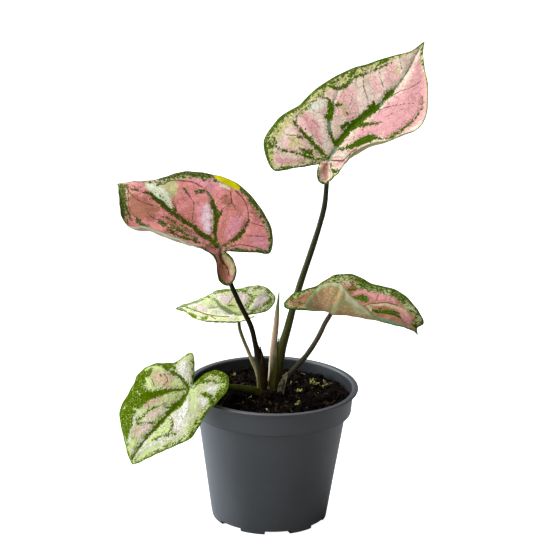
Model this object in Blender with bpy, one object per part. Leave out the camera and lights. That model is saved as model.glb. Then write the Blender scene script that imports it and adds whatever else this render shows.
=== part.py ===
"""A small caladium with five pink and green leaves, in a plain dark nursery pot.

Run with: blender --background --python part.py
Sizes are in millimetres, and the meshes are made in metres. +Z is up, -Y is the front,
and the origin is the centre of the pot's flat base.
"""

import math

import bpy
from mathutils import Matrix, Vector
from mathutils.bvhtree import BVHTree

MM = 0.001
GAP = 0.3  # between two pieces that touch

# The pot
POT_HEIGHT = 85.5
LIP_RADIUS = 53.1
LIP_THICKNESS = 1.6
BAND_TOP_RADIUS = 50.3
BAND_LOW_RADIUS = 49.1
BAND_BOTTOM = 69.8
BODY_TOP_RADIUS = 46.0
BODY_LOW_RADIUS = 35.8
BASE_RADIUS = 32.7
POT_WALL = 1.2
FLOOR_TOP = 3.6
POT_SEGMENTS = 70
NOTCHES = 7
NOTCH_DEGREES = 26.5
NOTCH_HEIGHT = 2.4
NOTCH_INNER_RADIUS = 25.0
FIRST_NOTCH_DEGREES = -80.8  # a notch stands just right of the front
DRAIN_RADIUS = 2.8
DRAIN_CENTRE_RADIUS = 29.3

# The soil
SOIL_TOP = 79.3
SOIL_SEGMENTS = 48
SOIL_TOP_RINGS = 9
SOIL_EDGE_DROP = 1.2
MOUND_CENTRE = (-1.5, -8.0)
MOUND_HEIGHT = 3.2
MOUND_RADIUS = 5.0

# The tuber, under the soil
TUBER_CENTRE = (-1.0, 0.0, 59.0)
TUBER_RADIUS = 14.0
TUBER_HALF_HEIGHT = 9.5
STEM_BOTTOM = 70.0
STEM_HOLE_BOTTOM = 63.0
HOLE_CLEARANCE = 0.5  # leaves the gap between the hole's flat sides and the stem's corners

# The leaf blades
BLADE_THICKNESS = 0.8
RIB_ROWS = 8
FAN_ROWS = 14
ACROSS_STEPS = 6
PETIOLE_SIDES = 8
PETIOLE_RINGS = 18
SEAT_STEP = 0.1

# Each blade has its own frame: "along" runs from the joint with the petiole to the tip,
# "across" to the blade's left, and "lift" off its upper face. heading, pitch and roll
# turn that frame, and fold is the rise of each half from the rib to the margin.
# A margin runs from the tip to the sinus behind the joint, as (along, across) or
# (along, across, lift above the fold's rise). shoulder is the number of the margin
# point that the first vein from the joint runs to. bow bulges the half's middle, peak
# says how near to the margin (1 is half-way, 5 is close to it), and bow_rows are the rows
# of the half between which it bulges, if that isn't the whole way from tip to sinus.
BLADES = {
    "blade_upper_left": {
        "joint": (-33.5, 0.0, 172.8),
        "heading": 166.8,
        "pitch": 27.7,
        "roll": -22.5,
        "fold": 17.5,
        "rib": [(74, 0), (66, -2, 3), (55, -3, 4), (40, -2.5, 2.5), (20, -1, 0.5), (0, 0)],
        "left": {
            "margin": [
                (74, 0), (72, 3), (66, 16), (58.5, 31), (51, 37), (43, 33, 4), (38, 30, 4),
                (28, 26, 4), (17, 21, 4), (6, 12, -0.5), (-1, 10.5, -3), (-5, 11, -9),
                (-9.5, 12, -16), (-15.5, 9.5, -18), (-17.5, 7.5, -12), (-15.5, 5.5, -5),
                (-10, 3, 0), (-4, 0.5, 0),
            ],
            "shoulder": 7,
            "bow": (0, 1.2, -3.2),
            "peak": 4,
            "bow_rows": (0, 13),
        },
        "right": {
            "margin": [
                (74, 0), (67, -7), (57, -15), (47, -28), (41, -33), (31, -38), (18, -42),
                (5, -41), (-10, -35), (-21, -27), (-27, -15), (-21, -10.6), (-11, -4.2),
                (-6, -1.4), (-4, 0.5),
            ],
            "shoulder": 4,
            "bow": (0, 0, 2.0),
            "peak": 1,
        },
    },
    "blade_upper_right": {
        "joint": (30.7, 3.0, 229.1),
        "heading": 25.7,
        "pitch": 47.5,
        "roll": 35.0,
        "fold": 15.0,
        "rib": [(92, 0), (82, -1.5), (70, -5), (56, -5), (42, -3), (28, 1), (14, 2, 0.5), (0, 0)],
        "left": {
            "margin": [
                (92, 0), (82, 3), (71, 11), (60, 18), (51, 24), (37, 30), (25, 33), (15, 34),
                (4, 38), (-5, 38.5), (-15, 37), (-22, 30), (-25.5, 21), (-18, 13.8), (-12, 8.3),
                (-7.5, 4.3), (-5.5, 2.5),
            ],
            "shoulder": 6,
            "bow": (0, 0, 2.5),
            "peak": 1,
        },
        "right": {
            "margin": [
                (92, 0), (83, -7), (71, -22), (60, -32), (51, -37), (44, -37.5, 2.5),
                (38.5, -34, 4), (30, -27.5, 4), (23.5, -20.5, 4), (16, -14.8, 4), (8.5, -12.5, 4),
                (-4, -12.5, 2), (-12.5, -9.5, -1), (-14.5, -6, 0.5), (-12.5, -2.5, 4), (-8, 1, 3),
                (-5.5, 2.5),
            ],
            "shoulder": 9,
            "bow": (0, -1.8, -3.5),
            "peak": 4,
            "bow_rows": (0, 14),
        },
    },
    "blade_back_left": {
        "joint": (-21.8, 20.0, 122.7),
        "heading": -171.2,
        "pitch": 8.1,
        "roll": -12.0,
        "fold": 18.0,
        "rib": [(40, 0), (35, -2), (24, 0.5), (12, 2), (0, 0)],
        "left": {
            "margin": [
                (40, 0), (35, 2), (32.5, 10), (31, 18), (25, 23.5), (15, 21), (7, 18), (0, 13),
                (-5, 9, 1.5), (-8.5, 5.5, 2), (-9, 1.5, 1.5), (-7, 0.4, 0.8), (-4.5, -0.9),
            ],
            "shoulder": 4,
            "bow": (0, 0, -1.5),
            "peak": 3,
        },
        "right": {
            "margin": [
                (40, 0), (36, -4), (30, -7), (20, -13), (12, -19), (0, -21.5), (-9, -25), (-17, -26),
                (-23, -21), (-24, -15), (-19, -7), (-13, -3.9), (-7.5, -2), (-4.5, -0.9),
            ],
            "shoulder": 4,
            "bow": (0, 0, 1.5),
            "peak": 1,
        },
    },
    "blade_lower_right": {
        "joint": (35.0, -8.0, 136.6),
        "heading": -17.2,
        "pitch": -8.6,
        "roll": 20.0,
        "fold": 10.0,
        "rib": [(55, 0), (46, 2.5, 4.5), (36, 3.5, 6), (24, 3, 4.5), (12, 1.5, 2.5), (0, 0)],
        "left": {
            "margin": [
                (55, 0), (53, 5), (55.5, 10), (50, 17.5), (38.5, 26.5), (28.5, 29.5), (16.5, 29),
                (5, 32), (-2, 31), (-9.5, 26.5), (-16, 16), (-20.5, 11.5), (-26.5, 6), (-29, -1),
                (-28.5, -7), (-25.5, -10.5), (-19.5, -8.8), (-10.5, -5.8, 0.5), (-4, -3, 1),
            ],
            "shoulder": 6,
            "bow": (0, 0, 1.5),
            "peak": 1,
        },
        "right": {
            "margin": [
                (55, 0), (53.5, -1.5, 3), (46, -3, 5.5), (37, -5, 6.5), (30, -8, 10.5), (21, -9, 17.5),
                (13.5, -8.5, 22), (9.5, -7.5, 25), (5.5, -5, 26.5), (-0.5, -5, 25.5), (-5, -6, 23),
                (-9, -8, 18.5), (-11, -10.5, 14.5), (-13, -13, 9.5), (-12, -13.5, 6), (-8.5, -7.8, 3),
                (-4, -3, 1),
            ],
            "shoulder": 6,
            "bow": (0, -7, -3),
            "peak": 1,
            "bow_rows": (3, 18),
        },
    },
    "blade_lower_left": {
        "joint": (-50.0, -24.0, 90.1),
        "heading": -141.8,
        "pitch": -43.5,
        "roll": 0.0,
        "fold": 4.0,
        "rib": [(58, 0), (51, -3.5), (43.5, -3.7), (28, -2.5), (14, 0.5), (0, 0)],
        "left": {
            "margin": [
                (58, 0), (55, 4), (45.5, 13), (33, 26), (27, 31), (16, 30), (8, 28.5), (-2, 30.5),
                (-9, 31), (-13.5, 28), (-17.5, 22), (-17.5, 10), (-12, 3), (-7, 1.8), (-3.5, 0),
            ],
            "shoulder": 4,
            "bow": (0, 0, 2.0),
            "peak": 1,
        },
        "right": {
            "margin": [
                (58, 0), (55.5, -6), (51, -13.5), (46, -21), (36, -34.5), (30, -39), (22.5, -40.5),
                (13, -42.5), (6, -44.5), (-3.5, -39), (-10.5, -25), (-18.5, -21), (-20.5, -16),
                (-13, -7.5), (-5, -1.5), (-3.5, 0),
            ],
            "shoulder": 6,
            "bow": (0, 0, 2.5),
            "peak": 1,
        },
    },
}

# Each petiole runs up from the tuber to the underside of its blade, as (x, y, z, radius).
# The last point is worked out from the blade's joint and this tip radius.
PETIOLES = {
    "petiole_upper_left": {
        "blade": "blade_upper_left",
        "tip_radius": 1.3,
        "path": [
            (-5.6, -1.0, STEM_BOTTOM, 2.4), (-5.8, -1.0, 84.0, 2.8), (-7.4, 0.0, 97.8, 2.9),
            (-8.8, 1.0, 103.5, 2.6), (-10.8, 1.5, 110.5, 1.7), (-14.0, 3.0, 122.2, 1.55),
            (-20.8, 4.5, 135.4, 1.5), (-26.6, 5.0, 147.9, 1.45), (-30.2, 4.2, 158.5, 1.4),
        ],
    },
    "petiole_upper_right": {
        "blade": "blade_upper_right",
        "tip_radius": 1.3,
        "path": [
            (1.8, 1.0, STEM_BOTTOM, 2.8), (1.6, 1.5, 84.8, 3.3), (2.8, 3.0, 94.3, 3.4),
            (4.9, 5.0, 106.5, 3.1), (8.3, 6.8, 118.8, 2.4), (12.0, 9.0, 134.4, 2.1),
            (16.3, 10.0, 150.4, 2.0), (22.0, 10.4, 169.6, 1.85), (26.4, 10.5, 185.6, 1.7),
            (29.1, 10.0, 198.6, 1.6), (29.9, 8.0, 211.8, 1.45),
        ],
    },
    "petiole_back_left": {
        "blade": "blade_back_left",
        "tip_radius": 1.0,
        "path": [
            (-8.0, 6.0, STEM_BOTTOM, 1.6), (-8.1, 6.0, 84.1, 1.5), (-9.8, 7.0, 91.8, 1.3),
            (-12.8, 9.0, 97.7, 1.2), (-15.6, 12.0, 103.4, 1.15), (-18.4, 14.0, 109.2, 1.1),
            (-20.9, 17.0, 115.3, 1.1),
        ],
    },
    "petiole_lower_right": {
        "blade": "blade_lower_right",
        "tip_radius": 1.4,
        "path": [
            (5.8, -4.2, STEM_BOTTOM, 1.8), (6.1, -4.4, 84.5, 2.1), (10.2, -5.0, 93.4, 1.9),
            (14.3, -5.5, 99.2, 1.7), (20.9, -6.0, 107.9, 1.6), (27.0, -7.0, 118.9, 1.55),
            (31.1, -8.0, 128.8, 1.5),
        ],
    },
    "petiole_lower_left": {
        "blade": "blade_lower_left",
        "tip_radius": 1.5,
        "path": [
            (-6.4, -8.0, STEM_BOTTOM, 2.0), (-6.8, -8.2, 79.0, 2.5), (-11.6, -10.5, 84.9, 2.6),
            (-16.8, -13.0, 86.7, 2.5), (-22.0, -16.0, 88.5, 2.3), (-28.0, -18.5, 89.9, 2.0),
            (-37.0, -21.0, 90.4, 1.7),
        ],
    },
}

ROLLED_LEAF_PATH = [
    (-0.9, 8.0, STEM_BOTTOM, 1.7), (-0.9, 8.0, 84.0, 1.9), (-0.7, 8.0, 91.0, 1.8),
    (0.0, 8.5, 104.0, 2.1), (0.8, 9.0, 114.7, 2.0), (1.6, 9.0, 125.0, 1.6),
    (2.1, 9.0, 133.0, 1.1), (2.8, 9.0, 142.5, 0.35),
]


def clear_objects():
    for old in list(bpy.data.objects):
        bpy.data.objects.remove(old, do_unlink=True)


def principled(name, colour, roughness):
    material = bpy.data.materials.new(name)
    material.use_nodes = True
    shader = material.node_tree.nodes["Principled BSDF"]
    shader.inputs["Base Color"].default_value = (*colour, 1.0)
    shader.inputs["Roughness"].default_value = roughness
    shader.inputs["Metallic"].default_value = 0.0
    material.diffuse_color = (*colour, 1.0)
    return material


def make_object(name, points, faces, material, smooth_degrees=40):
    """An object from points in millimetres and faces whose corners turn outward."""
    mesh = bpy.data.meshes.new(name)
    mesh.from_pydata([Vector(p) * MM for p in points], [], faces)
    mesh.validate()
    mesh.shade_smooth()
    mesh.set_sharp_from_angle(angle=math.radians(smooth_degrees))
    made = bpy.data.objects.new(name, mesh)
    bpy.context.scene.collection.objects.link(made)
    if material:
        mesh.materials.append(material)
    return made


def subtract(target, cutters):
    """Cuts the cutters, joined as one collection, out of the target and removes them."""
    group = bpy.data.collections.new(target.name + "_cutters")
    for cutter in cutters:
        group.objects.link(cutter)
    cut = target.modifiers.new("cut", "BOOLEAN")
    cut.operation = "DIFFERENCE"
    cut.solver = "EXACT"
    cut.operand_type = "COLLECTION"
    cut.collection = group
    graph = bpy.context.evaluated_depsgraph_get()
    shaped = bpy.data.meshes.new_from_object(target.evaluated_get(graph))
    target.modifiers.clear()
    target.data = shaped
    for cutter in cutters:
        bpy.data.objects.remove(cutter, do_unlink=True)
    bpy.data.collections.remove(group)


def on_circle(radius, degrees, z):
    turn = math.radians(degrees)
    return Vector((radius * math.cos(turn), radius * math.sin(turn), z))


def lathe(rings, segments):
    """Points and faces of a closed turned body. rings is [(radius, z)] going up the
    outside from the lower pole to the upper one; a ring may be a function of the angle."""
    points = [Vector((0, 0, rings[0](0)[1] if callable(rings[0]) else rings[0][1]))]
    for ring in rings[1:-1]:
        for k in range(segments):
            degrees = 360 * k / segments
            radius, z = ring(degrees) if callable(ring) else ring
            points.append(on_circle(radius, degrees, z))
    last = rings[-1](0) if callable(rings[-1]) else rings[-1]
    points.append(Vector((0, 0, last[1])))
    faces = []
    top = len(points) - 1
    rows = len(rings) - 2
    for k in range(segments):
        after = (k + 1) % segments
        faces.append((0, 1 + after, 1 + k))
        for row in range(rows - 1):
            low, high = 1 + row * segments, 1 + (row + 1) * segments
            faces.append((low + k, low + after, high + after, high + k))
        high = 1 + (rows - 1) * segments
        faces.append((high + k, high + after, top))
    return points, faces


def body_radius(z):
    """The outer radius of the pot's tapered body at a height."""
    share = (z - NOTCH_HEIGHT) / (BAND_BOTTOM - NOTCH_HEIGHT)
    return BODY_LOW_RADIUS + (BODY_TOP_RADIUS - BODY_LOW_RADIUS) * share


def pot_outside():
    return [
        (0.0, 0.0), (BASE_RADIUS, 0.0), (BODY_LOW_RADIUS - 0.6, 0.8), (BODY_LOW_RADIUS, NOTCH_HEIGHT),
        (BODY_TOP_RADIUS - 0.2, BAND_BOTTOM - 0.9), (BODY_TOP_RADIUS + 0.5, BAND_BOTTOM - 0.1),
        (BAND_LOW_RADIUS - 0.4, BAND_BOTTOM + 0.2), (BAND_LOW_RADIUS, BAND_BOTTOM + 0.9),
        (BAND_TOP_RADIUS, POT_HEIGHT - LIP_THICKNESS - 0.4),
        (BAND_TOP_RADIUS + 0.6, POT_HEIGHT - LIP_THICKNESS),
        (LIP_RADIUS - 0.3, POT_HEIGHT - LIP_THICKNESS + 0.1), (LIP_RADIUS, POT_HEIGHT - 0.9),
        (LIP_RADIUS - 0.4, POT_HEIGHT - 0.1),
    ]


def pot_inside():
    """The inner wall, from the lip down to the floor's centre."""
    return [
        (BAND_TOP_RADIUS - 0.2, POT_HEIGHT), (BAND_TOP_RADIUS - POT_WALL, POT_HEIGHT - 0.9),
        (BAND_LOW_RADIUS - POT_WALL, BAND_BOTTOM + 2.2),
        (BODY_TOP_RADIUS - POT_WALL + 0.6, BAND_BOTTOM + 1.0),
        (BODY_TOP_RADIUS - POT_WALL, BAND_BOTTOM),
        (body_radius(FLOOR_TOP) - POT_WALL, FLOOR_TOP + 1.2),
        (BASE_RADIUS - POT_WALL, FLOOR_TOP), (0.0, FLOOR_TOP),
    ]


def sector(inner, outer, low, high, middle, width, steps=4):
    """Points and faces of a block between two radii, two heights and two angles."""
    points, faces = [], []
    for k in range(steps + 1):
        degrees = middle + width * (k / steps - 0.5)
        for radius, z in ((inner, low), (outer, low), (outer, high), (inner, high)):
            points.append(on_circle(radius, degrees, z))
    for k in range(steps):
        for side in range(4):
            here, there = 4 * k + side, 4 * k + (side + 1) % 4
            faces.append((here, here + 4, there + 4, there))
    faces.append((0, 1, 2, 3))
    faces.append(tuple(4 * steps + side for side in (3, 2, 1, 0)))
    return points, faces


def make_pot():
    material = principled("pot_plastic", (0.052, 0.053, 0.06), 0.45)
    points, faces = lathe(pot_outside() + pot_inside(), POT_SEGMENTS)
    pot = make_object("pot", points, faces, material, 35)
    cutters = []
    for k in range(NOTCHES):
        middle = FIRST_NOTCH_DEGREES + 360 * k / NOTCHES
        block = sector(NOTCH_INNER_RADIUS, LIP_RADIUS, -2.0, NOTCH_HEIGHT, middle, NOTCH_DEGREES)
        cutters.append(make_object(f"notch_{k}", *block, None))
    subtract(pot, cutters)
    drains = []
    for k in range(NOTCHES):
        centre = on_circle(DRAIN_CENTRE_RADIUS, FIRST_NOTCH_DEGREES + 360 * k / NOTCHES, 0)
        drain = lathe([(0, 1.0), (DRAIN_RADIUS, 1.0), (DRAIN_RADIUS, 6.0), (0, 6.0)], 10)
        drains.append(make_object(f"drain_{k}", [p + centre for p in drain[0]], drain[1], None))
    subtract(pot, drains)


def soil_height(x, y):
    """The top of the soil: flat with small bumps, and a mound in front of the crown."""
    bumps = 0.45 * math.sin(0.31 * x + 1.0) * math.cos(0.27 * y - 0.4)
    bumps += 0.35 * math.sin(0.63 * y + 0.45 * x) + 0.25 * math.cos(0.9 * x - 0.7 * y)
    away = math.hypot(x - MOUND_CENTRE[0], y - MOUND_CENTRE[1]) / MOUND_RADIUS
    mound = MOUND_HEIGHT * math.exp(-away * away)
    edge = SOIL_EDGE_DROP * (math.hypot(x, y) / BAND_LOW_RADIUS) ** 6
    return SOIL_TOP + bumps + mound - edge


def soil_ring(radius):
    def ring(degrees):
        place = on_circle(radius, degrees, 0)
        return radius, soil_height(place.x, place.y)

    return ring


def soil_rings():
    """The soil fills the pot, a gap away from its inner wall."""
    wall = [(radius - GAP, z) for radius, z in reversed(pot_inside()[2:-1])]
    rings = [(0.0, FLOOR_TOP + GAP), (wall[0][0] - GAP, FLOOR_TOP + GAP)]
    rings += [(radius, z + GAP) for radius, z in wall[1:]]
    top_radius = BAND_LOW_RADIUS - POT_WALL - GAP + 0.4
    for k in range(SOIL_TOP_RINGS):
        rings.append(soil_ring(top_radius * (1 - k / SOIL_TOP_RINGS)))
    rings.append(soil_ring(0.0))
    return rings


def ball(centre, radius, half_height, turns=16, rows=9):
    rings = []
    for k in range(rows + 1):
        angle = math.pi * (k / rows - 0.5)
        rings.append((radius * math.cos(angle), centre[2] + half_height * math.sin(angle)))
    points, faces = lathe(rings, turns)
    aside = Vector((centre[0], centre[1], 0))
    return [p + aside for p in points], faces


def spline(points, per_span):
    """A smooth curve through vectors of any length, per_span steps for each stretch."""
    before, after = 2 * points[0] - points[1], 2 * points[-1] - points[-2]
    padded = [before, *points, after]
    curve = []
    for k in range(len(points) - 1):
        a, b, c, d = padded[k : k + 4]
        for step in range(per_span):
            t = step / per_span
            part = 2 * b + (c - a) * t + (2 * a - 5 * b + 4 * c - d) * t**2
            curve.append((part + (3 * b - a - 3 * c + d) * t**3) / 2)
    return curve + [points[-1]]


def evenly(curve, steps):
    """steps + 1 points at even distances along a fine curve."""
    reached = [0.0]
    for here, there in zip(curve, curve[1:], strict=False):
        reached.append(reached[-1] + (there - here).length)
    found, k = [], 0
    for step in range(steps + 1):
        wanted = reached[-1] * step / steps
        while k < len(curve) - 2 and reached[k + 1] < wanted:
            k += 1
        share = (wanted - reached[k]) / max(reached[k + 1] - reached[k], 1e-9)
        found.append(curve[k].lerp(curve[k + 1], min(share, 1.0)))
    return found


def tube(path, sides, rings):
    """Points and faces of a round stem along (x, y, z, radius), closed by domed ends."""
    knots = [Vector(p) for p in path]
    places = evenly(spline(knots, 8), rings)
    centres = [p.to_3d() for p in places]
    radii = [p[3] for p in places]
    ways = [(centres[min(k + 1, rings)] - centres[max(k - 1, 0)]).normalized() for k in range(rings + 1)]
    side = ways[0].orthogonal().normalized()
    points, loops = [centres[0] - ways[0] * radii[0] * 0.3], []
    for k in range(rings + 1):
        side = (side - ways[k] * side.dot(ways[k])).normalized()
        up = ways[k].cross(side)
        loops.append((centres[k], side.copy(), up, radii[k]))
    end = loops[-1]
    for back, share in ((0.45, 0.89), (0.8, 0.6)):
        loops.append((end[0] + ways[-1] * end[3] * back, end[1], end[2], end[3] * share))
    for centre, across, up, radius in loops:
        for k in range(sides):
            turn = 2 * math.pi * k / sides
            points.append(centre + (across * math.cos(turn) + up * math.sin(turn)) * radius)
    points.append(end[0] + ways[-1] * end[3])
    faces, last = [], len(points) - 1
    for k in range(sides):
        after = (k + 1) % sides
        faces.append((0, 1 + after, 1 + k))
        for row in range(len(loops) - 1):
            low, high = 1 + row * sides, 1 + (row + 1) * sides
            faces.append((low + k, low + after, high + after, high + k))
        high = 1 + (len(loops) - 1) * sides
        faces.append((high + k, high + after, last))
    return points, faces


def blade_frame(blade):
    """A matrix from (along, across, lift) at the joint to the object's own axes."""
    heading, pitch, roll = (math.radians(blade[key]) for key in ("heading", "pitch", "roll"))
    turned = Matrix.Rotation(heading, 4, "Z") @ Matrix.Rotation(-pitch, 4, "Y")
    return Matrix.Translation(blade["joint"]) @ turned @ Matrix.Rotation(roll, 4, "X")


def in_blade(point, fold):
    """A margin or rib point as a vector, with the fold's rise added to its lift."""
    along, across, *lift = point
    rise = abs(across) * math.tan(math.radians(fold))
    return Vector((along, across, rise + sum(lift)))


def blade_half(blade, side):
    """Rows of points from the rib to the margin. The first row is the tip, the rows up to
    RIB_ROWS start on the rib, and the later ones fan out from the joint."""
    half, fold = blade[side], blade["fold"]
    rib = evenly(spline([in_blade(p, fold) for p in blade["rib"]], 8), RIB_ROWS)
    margin = spline([in_blade(p, fold) for p in half["margin"]], 8)
    split = 8 * half["shoulder"]
    edge = evenly(margin[: split + 1], RIB_ROWS)
    edge += evenly(margin[split:], FAN_ROWS)[1:]
    bow, peak = Vector(half["bow"]), half["peak"]
    most = (peak / (peak + 1)) ** peak / (peak + 1)
    rows = []
    last = RIB_ROWS + FAN_ROWS
    first_bowed, last_bowed = half.get("bow_rows", (0, last))
    for k in range(last + 1):
        start = rib[min(k, RIB_ROWS)]
        through = (k - first_bowed) / (last_bowed - first_bowed)
        here = math.sin(math.pi * min(max(through, 0.0), 1.0))
        row = []
        for step in range(ACROSS_STEPS + 1):
            t = step / ACROSS_STEPS
            row.append(start.lerp(edge[k], t) + bow * here * (t**peak * (1 - t) / most))
        rows.append(row)
    return rows


def blade_sheet(blade):
    """The blade's middle surface: points, triangles seen from above, and its outline."""
    last = RIB_ROWS + FAN_ROWS
    points, numbers, triangles = [], {}, []

    def number(side, k, step, place):
        if k == 0:
            key = "tip"
        elif step == 0:
            key = ("rib", min(k, RIB_ROWS))
        elif k == last:
            key = ("seam", step)
        else:
            key = (side, k, step)
        if key not in numbers:
            numbers[key] = len(points)
            points.append(place)
        return numbers[key]

    outline = []
    for side in ("left", "right"):
        rows = blade_half(blade, side)
        grid = [[number(side, k, j, p) for j, p in enumerate(row)] for k, row in enumerate(rows)]
        for k in range(last):
            for j in range(ACROSS_STEPS):
                a, b = grid[k][j], grid[k + 1][j]
                c, d = grid[k + 1][j + 1], grid[k][j + 1]
                for corners in ((a, b, c), (a, c, d)):
                    if len(set(corners)) == 3:
                        triangles.append(corners if side == "right" else corners[::-1])
        edge = [row[-1] for row in grid]
        outline += edge[:-1] if side == "left" else edge[:0:-1]
    return points, triangles, outline


def make_blade(name, blade, material):
    points, triangles, outline = blade_sheet(blade)
    normals = [Vector() for _ in points]
    for a, b, c in triangles:
        facing = (points[b] - points[a]).cross(points[c] - points[a])
        for corner in (a, b, c):
            normals[corner] += facing
    count = len(points)
    frame = blade_frame(blade)
    half = BLADE_THICKNESS / 2
    solid = [frame @ (p + n.normalized() * half) for p, n in zip(points, normals, strict=True)]
    solid += [frame @ (p - n.normalized() * half) for p, n in zip(points, normals, strict=True)]
    faces = list(triangles)
    faces += [(a + count, c + count, b + count) for a, b, c in triangles]
    for here, there in zip(outline, outline[1:] + outline[:1], strict=True):
        faces.append((there, here, here + count))
        faces.append((there, here + count, there + count))
    return make_object(name, solid, faces, material, 60)


def petiole_path(stem):
    """The stem's points, ending where its domed tip lies a gap below the blade."""
    blade = BLADES[stem["blade"]]
    frame = blade_frame(blade)
    points, triangles, _ = blade_sheet(blade)
    sheet = BVHTree.FromPolygons([frame @ p for p in points], triangles)
    joint = Vector(blade["joint"])
    way = (Vector(stem["path"][-1][:3]) - joint).normalized()
    clear = BLADE_THICKNESS / 2 + GAP + stem["tip_radius"]
    reach = clear
    while sheet.find_nearest(joint + way * reach)[3] < clear + SEAT_STEP:
        reach += SEAT_STEP
    return [*stem["path"], (*(joint + way * reach), stem["tip_radius"])]


def make_stem(name, path, material):
    return make_object(name, *tube(path, PETIOLE_SIDES, PETIOLE_RINGS), material, 60)


def stem_hole(name, path):
    """A cutter for the plain hole that a stem stands in, down to the tuber's hollow."""
    low = [(path[0][0], path[0][1], STEM_HOLE_BOTTOM, path[0][3] + HOLE_CLEARANCE)]
    wide = [(x, y, z, radius + HOLE_CLEARANCE) for x, y, z, radius in path[1:5]]
    return make_object(name, *tube(low + wide, PETIOLE_SIDES, 12), None)


def make_soil(stems):
    material = principled("peat", (0.035, 0.022, 0.016), 0.95)
    points, faces = lathe(soil_rings(), SOIL_SEGMENTS)
    soil = make_object("soil", points, faces, material, 30)
    hollow = ball(TUBER_CENTRE, TUBER_RADIUS + GAP, TUBER_HALF_HEIGHT + GAP)
    subtract(soil, [make_object("tuber_hollow", *hollow, None)])
    for name, path in stems.items():
        subtract(soil, [stem_hole(name + "_hole", path)])


def make_plant():
    pink = principled("pink_blade", (0.72, 0.32, 0.33), 0.42)
    pale = principled("pale_blade", (0.55, 0.62, 0.36), 0.42)
    stem = principled("petiole", (0.045, 0.05, 0.028), 0.4)
    sheath = principled("rolled_leaf", (0.45, 0.36, 0.25), 0.45)
    tuber = principled("tuber", (0.16, 0.1, 0.06), 0.85)
    pale_names = ("blade_back_left", "blade_lower_left")
    for name, blade in BLADES.items():
        make_blade(name, blade, pale if name in pale_names else pink)
    stems = {name: petiole_path(petiole) for name, petiole in PETIOLES.items()}
    for name, path in stems.items():
        make_stem(name, path, stem)
    make_stem("rolled_new_leaf", ROLLED_LEAF_PATH, sheath)
    stems["rolled_new_leaf"] = ROLLED_LEAF_PATH
    body = ball(TUBER_CENTRE, TUBER_RADIUS, TUBER_HALF_HEIGHT)
    make_object("tuber", *body, tuber, 60)
    make_soil(stems)


def build():
    clear_objects()
    make_pot()
    make_plant()


build()
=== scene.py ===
"""Looks of a small potted caladium with five pink and green leaves, around its CAD model.

Lengths here are millimetres, made into metres where a mesh is built. +Z is up, -Y is the
front. Places named in pixels are those of the 544 x 544 photograph, seen from its camera.
"""

import math
import random

import bmesh
import bpy
import numpy as np
from mathutils import Matrix, Vector, noise


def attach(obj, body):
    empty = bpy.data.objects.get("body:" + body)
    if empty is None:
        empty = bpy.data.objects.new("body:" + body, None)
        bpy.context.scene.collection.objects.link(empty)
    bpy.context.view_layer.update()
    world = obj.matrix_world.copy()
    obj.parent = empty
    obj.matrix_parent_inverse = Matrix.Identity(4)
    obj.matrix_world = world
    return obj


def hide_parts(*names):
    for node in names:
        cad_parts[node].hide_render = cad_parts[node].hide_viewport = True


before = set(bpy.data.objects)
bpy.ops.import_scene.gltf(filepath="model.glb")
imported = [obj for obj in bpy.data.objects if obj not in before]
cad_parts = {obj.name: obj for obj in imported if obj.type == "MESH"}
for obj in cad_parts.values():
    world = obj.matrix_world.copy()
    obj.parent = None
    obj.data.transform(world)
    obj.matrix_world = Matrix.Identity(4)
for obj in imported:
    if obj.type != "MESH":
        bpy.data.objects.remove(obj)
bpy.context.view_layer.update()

MM = 0.001
FAR = 40.0  # a distance that counts as far away from any marking

# The photograph's camera
EYE = np.array([-1.8, -1595.1, 673.5])
LOOK_DOWN = math.radians(17.9)
CAMERA_ROLL = math.radians(1.4)
FOCAL_PIXELS = 2757.0
IMAGE_PIXELS = 544
SENSOR = 36.0
PIXEL_MM = 0.617  # what a pixel of the photograph spans at the plant
STROKE_REACH = 16  # pixels round a marking's stroke where its distance is worked out
STROKE_LAYER = 6.0  # mm off a stroke where another layer of the same blade begins
LINE_STEP = 1.5  # pixels between the places where a stroke is laid on its blade
LINE_REACH = 1.2  # pixels round such a place in which the blade's points count
LINE_DEPTH = 2.5  # mm behind the foremost of them where they stop counting

# The blades, with the same control points and rows as the CAD model
RIB_ROWS = 8
FAN_ROWS = 14
ACROSS_STEPS = 6
SIDES = ("left", "right")
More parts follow.
